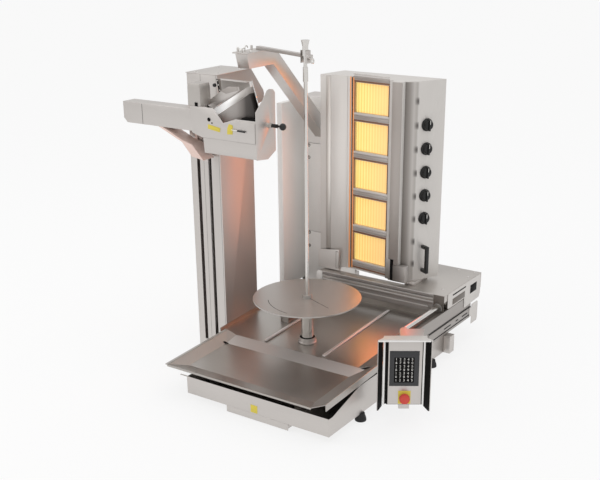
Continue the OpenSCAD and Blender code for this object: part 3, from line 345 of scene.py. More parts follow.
def knob_shades(tree, parts, share, colour):
    """Painted knob shadows: darkens a colour beside each knob, towards the far edge of the sheet.
    """
    turn = add(tree, "ShaderNodeMath", {1: -KNOB_TOP * MM}, {0: parts.outputs["Z"]},
               operation="ADD")
    wave = add(tree, "ShaderNodeMath", {1: 2 * math.pi / (KNOB_PITCH * MM)},
               {0: turn.outputs[0]}, operation="MULTIPLY")
    wave = add(tree, "ShaderNodeMath", links={0: wave.outputs[0]}, operation="COSINE")
    near = add(tree, "ShaderNodeMapRange", {"From Min": 0.45, "From Max": 1.0, "To Max": 0.85},
               {"Value": wave.outputs[0]})
    edge = add(tree, "ShaderNodeMapRange", {"From Min": 0.68, "From Max": 0.9},
               {"Value": share.outputs["Result"]})
    both = add(tree, "ShaderNodeMath",
               links={0: near.outputs["Result"], 1: edge.outputs["Result"]}, operation="MULTIPLY")
    shade = add(tree, "ShaderNodeMix", {7: linear("#4A4542")}, {0: both.outputs[0], 6: colour},
                data_type="RGBA")
    return shade.outputs[2]


def graded(name, x0, x1, stops, metal=0.5, knobs=False, hot=0.0):
    """Polished steel with painted reflection and shade along X from x0 to x1, in stops of (share,
    hex).
    """
    m, tree, shader = new_material(name)
    place = add(tree, "ShaderNodeTexCoord")
    parts = add(tree, "ShaderNodeSeparateXYZ", links={"Vector": place.outputs["Object"]})
    share = add(tree, "ShaderNodeMapRange",
                {"From Min": at(x0, 0, 0).x, "From Max": at(x1, 0, 0).x},
                {"Value": parts.outputs["X"]})
    ramp = add(tree, "ShaderNodeValToRGB", links={"Fac": share.outputs["Result"]})
    set_stops(ramp, *((where, linear(code)) for where, code in stops))
    out = ramp.outputs["Color"]
    if knobs:
        out = knob_shades(tree, parts, share, out)
    set_shader(tree, shader, {"Base Color": out, "Emission Color": out},
               {"Emission Strength": hot, "Metallic": metal, "Roughness": 0.42})
    return m


# A painted highlight on the drive box's top, white with a faint emission, and painted shade on
# its end.
DRIVE_TOP = graded("drive_top_painted_highlight", -345, -150,
                   ((0, "#FFFFFF"), (0.5, "#F4F3F2"), (0.8, "#A8A39F"), (1, "#8E8884")),
                   metal=0.0, hot=0.3)
DRIVE_FACE = graded("drive_face_shade", -290, -110,
                    ((0, "#BDB8B4"), (0.55, "#A09A96"), (0.72, "#77716D"), (0.8, "#4F4A47"),
                     (1, "#35312F")), metal=0.4)
# The case's return has painted shade where it leaves the post and a painted highlight where it
# meets the knob panel, with the knobs' shadows painted on it.
CASE_TURN = graded("case_return_shade", 166, 214,
                   ((0, "#77716C"), (0.4, "#A09A95"), (0.66, "#C2BDB9"), (0.88, "#B3AEA9"),
                    (1, "#D6D2CF")), knobs=True)
FOOT_BLOCK = graded("bracket_block_shade", 146, 206,
                    ((0, "#6E6863"), (0.5, "#8F8985"), (1, "#BDB8B4")))
print("all finishes:", len(bpy.data.materials))

# %% [markdown]
# ## Giving every CAD node its finish
# Each node is one part of the real machine, cut or moulded from one stock. The finishes could be
# given by hand, object by object. A table of finish and part names shows at a glance which parts
# share a stock, and lets the brushing follow the way each sheet was cut: upright on the column
# and heater, level on the housing.

# %% Finishes for the CAD nodes
finish_of = {
    SHEET: "base_shell front_apron plinth drawer_runners grease_drawer tray_rails column_cap "
           "arm_housing gooseneck gooseneck_plate side_cover head_frame guard control_bracket "
           "heater_brackets swivel_bar control_hood",
    COLUMN: "column_shell", SHEET_UP: "column_front rear_post spit_bearing burner_frame",
    MOTOR: "head_motor", SHEET_SOFT: "heater_case", LIGHT_UP: "post_covers side_shield",
    BRACE: "arm_brace", SHEET_DEEP: "heater_carriage carriage_blocks knife_drum",
    RAIL: "rail_housing left_rail", TROUGH: "front_tray", TROUGH_PAN: "drip_pan",
    DISC: "meat_disc",
    ROD: "spit_shaft meat_rod guide_rods lift_screw rail_rods wing_screw knife",
    CAST: "spit_motor lift_motor lift_carriage arm_slide spit_gear motor_pinion",
    BLACK: "lock_plunger heater_handle knob_1 knob_2 knob_3 knob_4 knob_5",
    DARK: "control_box", RUBBER: "rubber_feet", RED: "stop_button", GLASS: "touch_screen",
    CERAMIC: "burners",
}


def dress(obj, finish):
    """Gives an object one finish all over."""
    obj.data.materials.clear()
    obj.data.materials.append(finish)


for finish, names in finish_of.items():
    for name in names.split():
        dress(frame["nodes"][name], finish)
print("nodes without a finish:", [n for n, o in frame["nodes"].items() if not o.data.materials])

# %% [markdown]
# ## Softened sheet edges
# A folded or sawn edge is never razor sharp. It is deburred to about half a millimetre and catches
# a thin line of light. The CAD model's edges are sharp, and drawing each curve there would make it
# heavy. Here each node is copied, its loose triangles are merged and its flat regions joined, and
# a bevel modifier rounds what is left, because that works on any shape. The copy stands for the
# node.

# %% Helpers to select an object and round its edges
def nothing_selected():
    """Leaves edit mode and deselects all, because operators act on whatever is selected."""
    if bpy.context.object and bpy.context.object.mode != "OBJECT":
        bpy.ops.object.mode_set(mode="OBJECT")
    bpy.ops.object.select_all(action="DESELECT")


def take(obj):
    """Selects one object alone and makes it active."""
    nothing_selected()
    obj.select_set(True)
    bpy.context.view_layer.objects.active = obj
    return obj


def round_edges(obj, width_mm, fold=35):
    """Bevels the edges of the active object where its faces turn by more than fold degrees."""
    bevel = obj.modifiers.new("edge", "BEVEL")
    bevel.width = width_mm * MM
    bevel.segments = 2
    bevel.limit_method = "ANGLE"
    bevel.angle_limit = math.radians(fold)
    bpy.ops.object.modifier_apply(modifier="edge")


def softened(node_name, width_mm, fold=35):
    """A copy of a CAD node with rounded edges, which rides with the node's body and replaces it."""
    node = frame["nodes"][node_name]
    body = node["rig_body"]
    copy = node.copy()
    copy.data = node.data.copy()
    copy.parent = None
    for key in list(copy.keys()):
        del copy[key]
    copy.name = node_name + "_soft"
    bpy.context.scene.collection.objects.link(copy)
    take(copy)
    bpy.ops.object.mode_set(mode="EDIT")
    bpy.ops.mesh.select_all(action="SELECT")
    bpy.ops.mesh.remove_doubles(threshold=0.00001)
    bpy.ops.mesh.dissolve_limited(angle_limit=math.radians(0.5))
    bpy.ops.object.mode_set(mode="OBJECT")
    round_edges(copy, width_mm, fold)
    bpy.ops.object.shade_smooth_by_angle(angle=math.radians(fold - 4))
    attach(copy, body)
    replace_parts(copy, node_name)
    return copy


print("edge helpers ready")

# %% Round the edges of the sheet metal
# The widths are in millimetres. The pan and the tray are folded so gently that every fold from
# 7 degrees up is rounded on them.
soft_edges = {
    0.8: "base_shell front_apron plinth column_shell column_front column_cap arm_housing "
         "arm_brace rear_post post_covers side_shield gooseneck gooseneck_plate rail_housing "
         "left_rail side_cover heater_carriage carriage_blocks heater_case heater_brackets "
         "head_frame guard control_bracket tray_rails grease_drawer drawer_runners",
    1.5: "head_motor swivel_bar control_box heater_handle",
}
for width, names in soft_edges.items():
    for name in names.split():
        softened(name, width)
softened("drip_pan", 1.2, fold=7)
tray = softened("front_tray", 1.2, fold=7)
LIP_LEAN, GIVE_OR_TAKE = 0.204, 0.03  # how far the normal of the tray's lip leans to the front
# The lip's upward faces take the lighter copy of the tray's steel, as painted light.
tray.data.materials.append(TRAY_LIP)
lip = [p for p in tray.data.polygons
       if p.normal.z > 0.95 and abs(p.normal.y + LIP_LEAN) < GIVE_OR_TAKE]
for polygon in lip:
    polygon.material_index = 1
print("softened:", 2 + sum(len(n.split()) for n in soft_edges.values()), "lip faces:", len(lip))

# %% [markdown]
# ## Tools for new pieces
# Most fittings are one of two shapes: a plate cut to an outline, or something turned on a lathe.
# Both could be typed in as lists of points and faces. It is easier to work as by hand: a plate
# starts as a filled circle whose points are pulled to the outline, and is then extruded, and a
# turned piece starts as a disc that is extruded and resized ring by ring. A round bar is a curve
# with a thickness. Each piece then gets its edges, its finish and the body that it moves with.


def finish_piece(obj, name, body, finish, edge_mm=0.0, angle=32, replaces=None):
    """Names a piece, rounds its edges, smooths it, gives it its finish and hangs it on a body."""
    obj.name = name
    obj.data.name = name
    take(obj)
    if edge_mm:
        round_edges(obj, edge_mm)
    bpy.ops.object.shade_smooth_by_angle(angle=math.radians(angle))
    dress(obj, finish)
    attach(obj, body)
    if replaces:
        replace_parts(obj, replaces)
    return obj


# %% Cut a plate
PLANES = {"yz": (1, 2, 0), "xz": (0, 2, 1), "xy": (0, 1, 2)}


def oblong(a0, b0, a1, b1):
    """The four corners of a rectangle."""
    return [(a0, b0), (a1, b0), (a1, b1), (a0, b1)]


def closed_up():
    """Turns the faces of the mesh in edit mode outwards, and leaves edit mode."""
    bpy.ops.mesh.select_all(action="SELECT")
    bpy.ops.mesh.normals_make_consistent(inside=False)
    bpy.ops.object.mode_set(mode="OBJECT")


def cut_plate(name, body, finish, plane, outline, start, depth, edge_mm=0.4):
    """A plate: an outline in a plane, drawn out along the third axis. Millimetres from the spit."""
    nothing_selected()
    a_axis, b_axis, n_axis = PLANES[plane]
    bpy.ops.mesh.primitive_circle_add(vertices=len(outline), radius=0.1, fill_type="NGON",
                                      location=(0, 0, 0))
    obj = bpy.context.object
    for vertex, (a, b) in zip(obj.data.vertices, outline):
        place = [0, 0, 0]
        place[a_axis], place[b_axis], place[n_axis] = a, b, start
        vertex.co = at(*place)
    move = [0, 0, 0]
    move[n_axis] = depth * MM
    bpy.ops.object.mode_set(mode="EDIT")
    bpy.ops.mesh.select_all(action="SELECT")
    bpy.ops.mesh.extrude_region_move(TRANSFORM_OT_translate={"value": move})
    closed_up()
    return finish_piece(obj, name, body, finish, edge_mm)


def set_in(obj, place, degrees, axis="Z"):
    """Turns a piece that was modelled at the spit, and moves it to its own place."""
    obj.data.transform(Matrix.Translation(at(*place))
                       @ Matrix.Rotation(math.radians(degrees), 4, axis)
                       @ Matrix.Translation(-SPIT))
    return obj


print("plates can lie in", ", ".join(PLANES))

# %% Turn a piece on the lathe
UP, TO_FRONT = (0, 0, 1), (0, -1, 0)


def turned(name, body, finish, base, direction, rings, sides=40, replaces=None, angle=32):
    """A lathe piece: rings are (radius, height) in millimetres from its base along a direction."""
    nothing_selected()
    last_r, last_z = rings[0]
    bpy.ops.mesh.primitive_circle_add(vertices=sides, radius=last_r * MM, fill_type="NGON",
                                      location=(0, 0, last_z * MM))
    obj = take(bpy.context.object)
    bpy.ops.object.transform_apply(location=True, rotation=True, scale=True)
    bpy.ops.object.mode_set(mode="EDIT")
    bpy.ops.mesh.select_all(action="SELECT")
    for r, z in rings[1:]:
        bpy.ops.mesh.extrude_region_move(
            TRANSFORM_OT_translate={"value": (0, 0, (z - last_z) * MM)})
        k = r / last_r
        bpy.ops.transform.resize(value=(k, k, 1), center_override=(0, 0, z * MM))
        last_r, last_z = r, z
    closed_up()
    turn = Vector(direction).normalized().to_track_quat("Z", "Y").to_matrix().to_4x4()
    obj.data.transform(Matrix.Translation(at(*base)) @ turn)
    obj.data.update()
    return finish_piece(obj, name, body, finish, 0, angle, replaces)


def screw(name, body, place, direction, r=4.5, h=2.2):
    """A pan-head screw: a low dome with a soft edge."""
    dome = ((r, 0), (r, 0.3 * h), (0.92 * r, 0.65 * h), (0.7 * r, 0.9 * h), (0.35 * r, h))
    return turned(name, body, ROD, place, direction, dome, 20)


print("pieces can be turned along any direction, such as", UP, "or", TO_FRONT)

# %% Bend a bar, and draw an arc
def bent_bar(name, body, finish, points, radius_mm):
    """A round bar along a path of points, in millimetres from the spit."""
    nothing_selected()
    curve = bpy.data.curves.new(name, "CURVE")
    curve.dimensions = "3D"
    curve.bevel_depth = radius_mm * MM
    curve.bevel_resolution = 4
    curve.use_fill_caps = True
    line = curve.splines.new("POLY")
    line.points.add(len(points) - 1)
    for point, place in zip(line.points, points):
        point.co = (*at(*place), 1)
    obj = bpy.data.objects.new(name, curve)
    bpy.context.scene.collection.objects.link(obj)
    take(obj)
    bpy.ops.object.convert(target="MESH")
    return finish_piece(bpy.context.object, name, body, finish, 0, 50)


def arc(cx, cy, r, a0, a1, steps):
    """Points on an arc, from angle a0 to a1 in degrees."""
    angles = [math.radians(a0 + (a1 - a0) * i / steps) for i in range(steps + 1)]
    return [(cx + r * math.cos(a), cy + r * math.sin(a)) for a in angles]


print("an arc of 10 steps has", len(arc(0, 0, 1, 0, 90, 10)), "points")

# %% [markdown]
# ## Feet, apron and tray
# The machine stands on six rubber cones, moulded round threaded studs, so that it doesn't creep.
# A plain cone would do from afar, but a real foot has a lip, a taper and a neck, so it is turned
# from seven rings. A plain yellow plate sits on the front apron. The tray has a small punched slot
# in its corner. Cutting it through would need a boolean on a thin sheet, and a thin dark plate that
# lies on the slope looks the same.

# %% Feet, apron plate and tray slot
foot_places = [(392, -229), (392, 341), (-235, -229), (-450.5, -10), (-483, 604), (-272, 604)]
foot_rings = [(19, 0), (21.5, 1.5), (22, 4), (21, 12), (17.5, 22), (16, 24.5), (16, 31)]
for i, (x, y) in enumerate(foot_places):
    turned(f"foot_{i + 1}", "base", RUBBER, (x, y, 0), UP, foot_rings,
           replaces="rubber_feet" if i == 0 else None)
cut_plate("apron_plate", "base", YELLOW, "xz", oblong(50.5, 35.5, 81.5, 66.5), -455.2, 0.7, 0.2)
TRAY_CORNER, CORNER_SLOPE = (-288, -170, 132.2), 16
slot = cut_plate("tray_slot", "tray", DARK, "xy", [(-12, -5), (7, -2), (11, 5), (-8, 5)],
                 0.4, 0.8, 0)
set_in(slot, TRAY_CORNER, CORNER_SLOPE, "Y")
print("feet:", len(foot_places))

# %% [markdown]
# ## The spit
# A turned collar on the pan carries a tube, and the tube carries the disc that the meat stands on.
# The disc's top has a pressed arc and a radial line. These could be grooves in its mesh, but a
# groove a quarter of a millimetre deep only shows as a dark line, so each is a thin dark inlay. The
# pan's two ribs are pressed from below. They are rounded plates, laid on the pan's slope.

# %% Collar, disc marks and pan ribs
turned("collar_ring", "base", SHEET_UP, (0, 0, 0), UP,
       [(35.05, 146), (38, 146), (38, 150), (35.4, 152.5)], 64)
turned("collar_gap", "base", DARK, (0, 0, 0), UP, [(31, 167.1), (31, 167.35)], 64)
DISC_TOP, MARK_DEEP = 338, 0.25
ARC_X, ARC_Y, ARC_FROM, ARC_TO, ARC_STEPS = 46.4, 12.5, -141.5, -93.6, 24
arc_mark = (arc(ARC_X, ARC_Y, 201.8, ARC_FROM, ARC_TO, ARC_STEPS)
            + arc(ARC_X, ARC_Y, 199.6, ARC_TO, ARC_FROM, ARC_STEPS))
cut_plate("disc_arc", "spit", DARK, "xy", arc_mark, DISC_TOP, MARK_DEEP, 0)
line_mark = cut_plate("disc_line", "spit", DARK, "xy", oblong(22, -0.9, 150, 0.9), DISC_TOP,
                      MARK_DEEP, 0)
set_in(line_mark, (0, 0, 0), -22.7)
PAN_PLACE, PAN_SLOPE = (0, -100, 141), 2.3
for i, x in enumerate((-147, 133)):
    rib = cut_plate(f"pan_rib_{i + 1}", "base", RIB, "xy",
                    arc(x, 18, 7, 180, 360, 10) + arc(x, 528, 7, 0, 180, 10), 0, 7.4, 2.4)
    set_in(rib, PAN_PLACE, PAN_SLOPE, "X")
turned("disc_hub", "spit", DISC, (0, 0, 0), UP,
       [(20.1, DISC_TOP), (20.1, 348), (18.5, 349.4), (7.2, 349.6)], 48)
print("spit dressed")

# %% [markdown]
# ## The burner frame
# Five windows show the ceramic. Each has a pressed rim, and the bars between them are rolled with
# three ridges, which read as bright and dark lines. The ridges could be a bump in the steel, but
# they stand 2 mm proud and cast shadows, so each is a rounded plate of its own. All are modelled
# straight, in the frame's own axes, and then turned to the frame's angle together.

# %% Rolled bars and window rims
FRAME_PLACE = (-93, 486, 0)
FRAME_TURN = math.degrees(math.atan2(463 - 486, 95 + 93))
WINDOW_X, WINDOW_W, WINDOW_H, WINDOW_Z, PITCH = 13.5, 172, 123, 346, 161.5
WINDOW_END = WINDOW_X + WINDOW_W
BAR = PITCH - WINDOW_H


def on_frame(name, finish, outline, start, depth, edge_mm):
    """A plate in the burner frame's own axes, on the heater's carriage."""
    plate = cut_plate(name, "carriage", finish, "xz", outline, start, depth, edge_mm)
    return set_in(plate, FRAME_PLACE, FRAME_TURN)


ridges = ((1.5, 9, TINT), (11.5, 26.5, POST), (29, 37, SHEET_SOFT))
for k in range(6):
    z = WINDOW_Z + k * PITCH - BAR
    for j, (z0, z1, finish) in enumerate(ridges):
        on_frame(f"bar_{k + 1}_{j + 1}", finish,
                 oblong(WINDOW_X - 9, z + z0, WINDOW_END + 3, z + z1), -2.2, 3.4, 1.6)
for k in range(5):
    z = WINDOW_Z + k * PITCH
    rims = ((WINDOW_X - 2.5, WINDOW_X + 1), (WINDOW_END - 1, WINDOW_END + 3))
    for j, (x0, x1) in enumerate(rims):
        on_frame(f"rim_{k + 1}_{j + 1}", TINT, oblong(x0, z - 1, x1, z + WINDOW_H + 1),
                 -1.6, 2.8, 0.6)
print("bars and rims:", 6 * len(ridges) + 10)

# %% [markdown]
# ## The heater's front
# The case folds back on both sides of the frame. The burners' orange light on one fold is painted
# on, and the others carry a light and a dark band, painted light and shade for the sheet's small
# returns. They could be painted by the material alone, but the eye reads the small steps between
# the sheets, so each band is a thin sheet laid on the case.

# %% Strips, bands and the case's return
CASE_Z0, CASE_Z1 = 304, 1136
# The burners' orange glow, painted on strips at the edges of the frame and the case.
on_frame("frame_glow_strip", GLOW_STRIP, oblong(3, 306, 8.5, 1134), -2.6, 2.4, 0.4)
on_frame("frame_dark_strip", DARK, oblong(-3, 306, 2, 1134), -1.8, 1.6, 0.2)
cut_plate("case_glow_edge", "carriage", GLOW_STRIP, "xz", oblong(-104.5, CASE_Z0, -99, CASE_Z1),
          482.0, 1.6, 0.5)
on_frame("frame_top_gap", DARK, oblong(2, 1131, 188, CASE_Z1), -1.0, 0.8, 0.2)
cut_plate("post_face", "carriage", POST, "xz", oblong(120, CASE_Z0, 165, CASE_Z1), 438.8, 1.0, 0.5)
CASE_CORNER = (-106, 484, 0)
CASE_TURN_ANGLE = math.degrees(math.atan2(-23, -131))
# A light band with painted light and a dark band with painted shade, on the case's wing.
for name, finish, d0, d1, proud in (("case_band_light", SHEET_SOFT, 10, 84, 2.2),
                                    ("case_band_dark", SHEET_DEEP, 86, 108, 1.2)):
    band = cut_plate(name, "carriage", finish, "xz", oblong(d0, CASE_Z0, d1, CASE_Z1), 0, proud,
                     0.6)
    set_in(band, CASE_CORNER, CASE_TURN_ANGLE)
WALL_CORNER, WALL_ANGLE = (166, 463, 0), math.degrees(math.atan2(30, 48))
wall = cut_plate("case_return", "carriage", CASE_TURN, "xz", oblong(0, CASE_Z0, 56.6, CASE_Z1),
                 -0.9, 0.9, 0.3)
set_in(wall, WALL_CORNER, WALL_ANGLE)
print("case front dressed, folds at", round(CASE_TURN_ANGLE), "and", round(WALL_ANGLE), "degrees")

# %% Plates at the heater's foot
for name, finish, outline, front, depth, edge in (
        ("foot_guard", SHEET_SOFT, [(-247, 290), (-137, 290), (-137, 386), (-247, 372)],
         456, 2, 0.8),
        ("foot_guard_slot", RAIL, oblong(-155, 300, -137.5, 378), 455.2, 0.6, 0.2),
        ("foot_guard_slot_in", SHEET_SOFT, oblong(-152, 302, -141, 374), 454.8, 0.6, 0.2),
        ("foot_plate", RAIL, oblong(108, 308, 131, 397), 434.6, 3, 0.8),
        ("foot_slot", DARK, oblong(131, 304, 144, 396), 436, 2, 0.2),
        ("foot_block", FOOT_BLOCK, oblong(145, 303, 206, 374), 433, 26, 1.2)):
    cut_plate(name, "carriage", finish, "xz", outline, front, depth, edge)
print("heater's foot dressed")

# %% [markdown]
# ## Knobs
# Each knob is a moulded skirt with a raised grip bar and a pale pointer line. The skirt could be a
# plain drum, but moulding needs a taper and a rounded crown, which are what catch the light, so it
# is turned from seven rings. Each knob turns with its own joint, so each rides on its own body.

# %% Five control knobs
KNOB_RUN = Vector((60, 113, 0))  # the way the knob panel runs, seen from above
KNOB_TURN = math.degrees(math.atan2(-KNOB_RUN.x, KNOB_RUN.y))
panel_out = Vector((KNOB_RUN.y, -KNOB_RUN.x, 0)).normalized()
knob_column = Vector((214, 493, 0)) + KNOB_RUN * 0.32
skirt_rings = [(26, 0.5), (26, 4), (24.5, 6.5), (21, 8.5), (19.5, 17), (18, 18.6), (12, 19)]
grip_outline = [(8, -4.2), (24, -3.4), (25.5, 0), (24, 3.4), (8, 4.2)]
for k in range(5):
    centre = knob_column + Vector((0, 0, KNOB_TOP - KNOB_PITCH * k))
    body = f"dial_{k + 1}"
    turned(f"knob_{k + 1}_skirt", body, KNOB, centre, panel_out, skirt_rings, 48,
           replaces=f"knob_{k + 1}")
    grip = cut_plate(f"knob_{k + 1}_grip", body, KNOB, "xy", grip_outline, -23, 46, 1.2)
    mark = cut_plate(f"knob_{k + 1}_mark", body, WHITE, "xy", oblong(25.0, -1.0, 25.7, 1.0),
                     4, 17, 0)
    for part in (grip, mark):
        set_in(part, centre, KNOB_TURN)
turned("panel_screw", "carriage", DARK, knob_column + KNOB_RUN * 0.24 + Vector((0, 0, 356)),
       panel_out, [(4, 0.1), (4, 0.8)], 20)
print("knobs dressed")

# %% [markdown]
# ## The knife's drive
# The cutting head hangs on the beam. A sloping steel box holds the knife's drive, with a
# highlight painted on its top and shade painted on its end, and the round knife stands at its
# upper end. The box could be built from its corners, but its end must stop just behind the tilted
# knife. So each part is cut too long and then sliced off along the knife's plane, as a fitter trims
# to a gauge.

# %% Drive box and knife
KNIFE_TILT, KNIFE_TURN = math.radians(13.4), math.radians(38)
KNIFE_PLACE = (-139, -125, 1141)
knife_out = Vector((math.cos(KNIFE_TILT) * math.cos(KNIFE_TURN),
                    math.cos(KNIFE_TILT) * math.sin(KNIFE_TURN), math.sin(KNIFE_TILT)))
BEHIND_KNIFE = 0.7 * MM


def sliced(obj, place, out):
    """Cuts away all of a piece that lies beyond a plane, and closes the cut."""
    take(obj)
    bpy.ops.object.mode_set(mode="EDIT")
    bpy.ops.mesh.select_all(action="SELECT")
    bpy.ops.mesh.bisect(plane_co=place, plane_no=out, use_fill=True, clear_outer=True)
    bpy.ops.object.mode_set(mode="OBJECT")
    return obj


def drive_part(name, finish, outline, front, depth, edge_mm):
    """A part of the drive, drawn front to back and sliced off just behind the knife."""
    part = cut_plate(name, "head", finish, "xz", outline, front, depth, edge_mm)
    return sliced(part, at(*KNIFE_PLACE) - knife_out * BEHIND_KNIFE, knife_out)


drive = drive_part("drive_box", DRIVE_TOP, [(-342, 1066), (-283, 1063), (-146, 1142),
                                            (-168, 1168), (-186, 1157)], -172, 96, 1.5)
sliced(drive, at(-283, -172, 1063), Vector((-0.5, -1.0, 0.87)).normalized())
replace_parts(drive, "knife_drum")
drive_part("knife_housing", DRIVE_FACE, [(-206, 1096), (-206, 1112), (-170, 1136), (-125, 1152),
                                         (-125, 1080), (-190, 1080)], -168, 76, 2)
drive_part("drive_face", DRIVE_FACE, [(-281, 1064), (-148, 1142), (-128, 1155), (-108, 1092),
                                      (-112, 1050), (-180, 1034), (-255, 1032), (-276, 1048)],
           -173.4, 92, 1.0)
turned("knife_disc", "cutter", ROD, KNIFE_PLACE, knife_out,
       [(8, -38), (8, -0.1), (20, 0), (52, 0.3), (58, 1.6), (57.6, 2.2), (50, 3), (14, 3),
        (11, 4.6), (4, 4.8)], 72, replaces="knife", angle=25)
print("knife faces", [round(v, 2) for v in knife_out])

# %% [markdown]
# ## The head's plates
# Behind the drive stands a flanged back plate with a dark slotted strip. In front hangs a folded
# plate with holes, two plain yellow plates and a short stop rod. True holes would need booleans in
# folded sheet. At this size a hole is only its dark inside, so each is a thin dark disc or plate.

# %% Back plate and slotted strip
for name, finish, outline, front, depth, edge in (
        ("drive_back", SHEET, [(-366, 1094), (-329, 1078), (-200, 1156), (-203, 1169),
                               (-248, 1165), (-287, 1147)], -141, 2, 0.6),
        ("drive_back_shade", POST, [(-286, 1146), (-262, 1139), (-205, 1155), (-206, 1169),
                                    (-252, 1166)], -142.2, 1, 0.3),
        ("strip_backing", RAIL_DARK, [(-311, 1190), (-291, 1190), (-287, 1146), (-300, 1141)],
         -137.6, 2, 0.4),
        ("slotted_strip", DARK, [(-309, 1189), (-302, 1189), (-293, 1144), (-299, 1143)],
         -138.4, 1, 0.2)):
    cut_plate(name, "head", finish, "xz", outline, front, depth, edge)
cut_plate("back_flange_edge", "head", BRIGHT, "yz",
          [(-82, 1180), (-66, 1180), (-36, 1066), (-52, 1066)], -199.4, 1.4, 0.4)
for i, (x, z) in enumerate(((-304, 1184), (-300, 1168), (-294, 1149))):
    screw(f"strip_screw_{i + 1}", "head", (x, -138, z), TO_FRONT, 3)
turned("latch_knob", "head", BLACK, (-317, -137, 1166), TO_FRONT,
       [(7, 0), (7, 5), (6, 8), (3, 9.5)], 28)
print("back plate dressed")

# %% Front plate: holes, plates and rod
PLATE_FACE = -194.1
for name, x, z, r, sides in (("round_hole", -307, 1047, 7.5, 32),
                             ("small_hole", -293, 1035, 3, 20)):
    turned(name, "head", DARK, (x, PLATE_FACE, z), TO_FRONT, [(r, 0), (r, 0.5)], sides)
cut_plate("square_hole", "head", DARK, "xz", oblong(-372, 1091, -358, 1105), -195.5, 1.3, 0.2)
level_outline = [(-313, 1012), (-256, 1004), (-254, 1020), (-312, 1029)]
upright_outline = [(-222, 1000), (-196, 1002), (-194, 1036), (-212, 1040), (-220, 1024)]
for name, outline in (("level_plate", level_outline), ("upright_plate", upright_outline)):
    cut_plate(name, "head", YELLOW, "xz", outline, -195, 0.8, 0.2)
bent_bar("stop_rod", "head", ROD, [(-192, -195, 1021), (-192, -202, 1021), (-150, -202, 1019)], 2.5)
bent_bar("stop_rod_tip", "head", BLACK, [(-168, -202, 1019.7), (-134, -202, 1018.6)], 3.2)
cut_plate("side_box", "head", SHEET, "xz", [(-178, 977), (-91, 977), (-91, 1052), (-178, 1054)],
          -197, 2.6, 1.2)
cut_plate("side_box_gap", "head", DARK, "xz",
          [(-176, 1055), (-91, 1053), (-91, 1066), (-150, 1068)], -188, 40, 0.5)
# A dark strip at the arm's open end: painted shade in the gap.
cut_plate("arm_mouth_painted_shade", "lift", DARK, "xz", oblong(-434, 984, -424, 1059), -130.4, 0.4, 0)
print("front plate dressed")

# %% [markdown]
# ## Fittings of the column, arm and gooseneck
# The column's cap is screwed down, its front sheet and the arm show fine seams, and a wing nut, a
# hook and a bolt hold the swivel plate to the gooseneck. These small things are what gives a large
# plain sheet its scale. Each is modelled once as a screw, a strip or a bent bar and then placed.

# %% Screws and seams
for i, (x, y) in enumerate(((-497, -36), (-474, -44), (-398, -20), (-505, 120), (-395, 120))):
    screw(f"cap_screw_{i + 1}", "base", (x, y, 1189.5), UP, 5, 2.5)
for i, x in enumerate((-459, -381)):
    cut_plate(f"column_seam_{i + 1}", "base", CAST, "xz", oblong(x, 36, x + 1.2, 1186), -54.3,
              0.4, 0)
cut_plate("arm_seam", "lift", DARK, "xz", oblong(-706, 981, -704.6, 1061), -130.3, 0.4, 0)
# Each screw on the post sits on a dark ring: painted shadow round its head.
for i, z in enumerate((815, 761, 414, 352)):
    turned(f"post_screw_ring_{i + 1}", "base", RAIL_DARK, (-345, 531.9, z), TO_FRONT,
           [(7.5, 0), (7.5, 0.5)], 24)
    screw(f"post_screw_{i + 1}", "base", (-345, 531.4, z), TO_FRONT, 4.5, 2)
print("screws and seams placed")

# %% Wing nut, hook, bolt and collar
NUT_X = -295
turned("wing_nut_body", "base", ROD, (NUT_X, -2, 1272), UP, [(8, 0), (8, 5), (6, 12), (4, 14)], 28)
for side in (-1, 1):
    cut_plate(f"wing_{side + 2}", "base", ROD, "xz",
              [(NUT_X + side * 4, 1276), (NUT_X + side * 17, 1288), (NUT_X + side * 15, 1293),
               (NUT_X + side * 4, 1285)], -3.5, 3, 1.0)
bent_bar("pull_hook", "base", ROD,
         [(-300, 30, 1271)] + [(-300, y, z) for y, z in arc(39, 1284, 9, 180, 0, 8)], 2.2)
turned("plate_bolt", "base", ROD, (-266, 22, 1271.8), UP, [(6.5, 0), (6.5, 6), (5.5, 7)], 6,
       angle=20)
bent_bar("index_collar", "head", ROD, [(-87, -108, 1033), (-76, -108, 1033)], 9)
print("fittings placed")

# %% [markdown]
# ## The control box
# A black box carries a steel face with a touch screen, a yellow plate and a red mushroom button.
# The box stands at an angle, and modelling at an angle is hard, so all of it is modelled straight
# and then moved to the panel's place and turn. The screen shows rows of plain figures. They could
# be a picture on the glass, but real text made into a mesh needs no image.

# %% Panel face and mushroom button
PANEL_PLACE, PANEL_TURN = (528, -146, 68), 33


def on_panel(obj):
    """Moves a piece modelled in the panel's axes (x across, y into it, z up) to its place."""
    return set_in(obj, PANEL_PLACE, PANEL_TURN)


def panel_plate(name, finish, outline, front, depth, edge_mm):
    """An upright plate on the panel."""
    return on_panel(cut_plate(name, "base", finish, "xz", outline, front, depth, edge_mm))


panel_plate("panel_face", SHEET_UP, oblong(-61.5, 2, 61.5, 258), -2.2, 2, 0.8)
screen = panel_plate("screen_glass", GLASS, oblong(-57, 77, 51, 217), -4.6, 4, 1.2)
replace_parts(screen, "touch_screen")
panel_plate("screen_lit", DARK, oblong(-40, 92, 33, 192), -4.9, 0.5, 0)
panel_plate("stop_plate", YELLOW, oblong(-23, 4, 23, 57), -2.9, 0.8, 0.3)
on_panel(turned("stop_mushroom", "stop", RED, (0, 0, 31), TO_FRONT,
                [(8, -2), (8, 10), (17, 11), (20, 14), (20, 20), (18.5, 24.5), (14, 27),
                 (7, 28.3)], 48, replaces="stop_button"))
on_panel(cut_plate("cable_tab", "base", SHEET_UP, "xz", oblong(-20, -22, 20, 3), 8, 12, 1.5))
print("panel turned by", PANEL_TURN, "degrees")

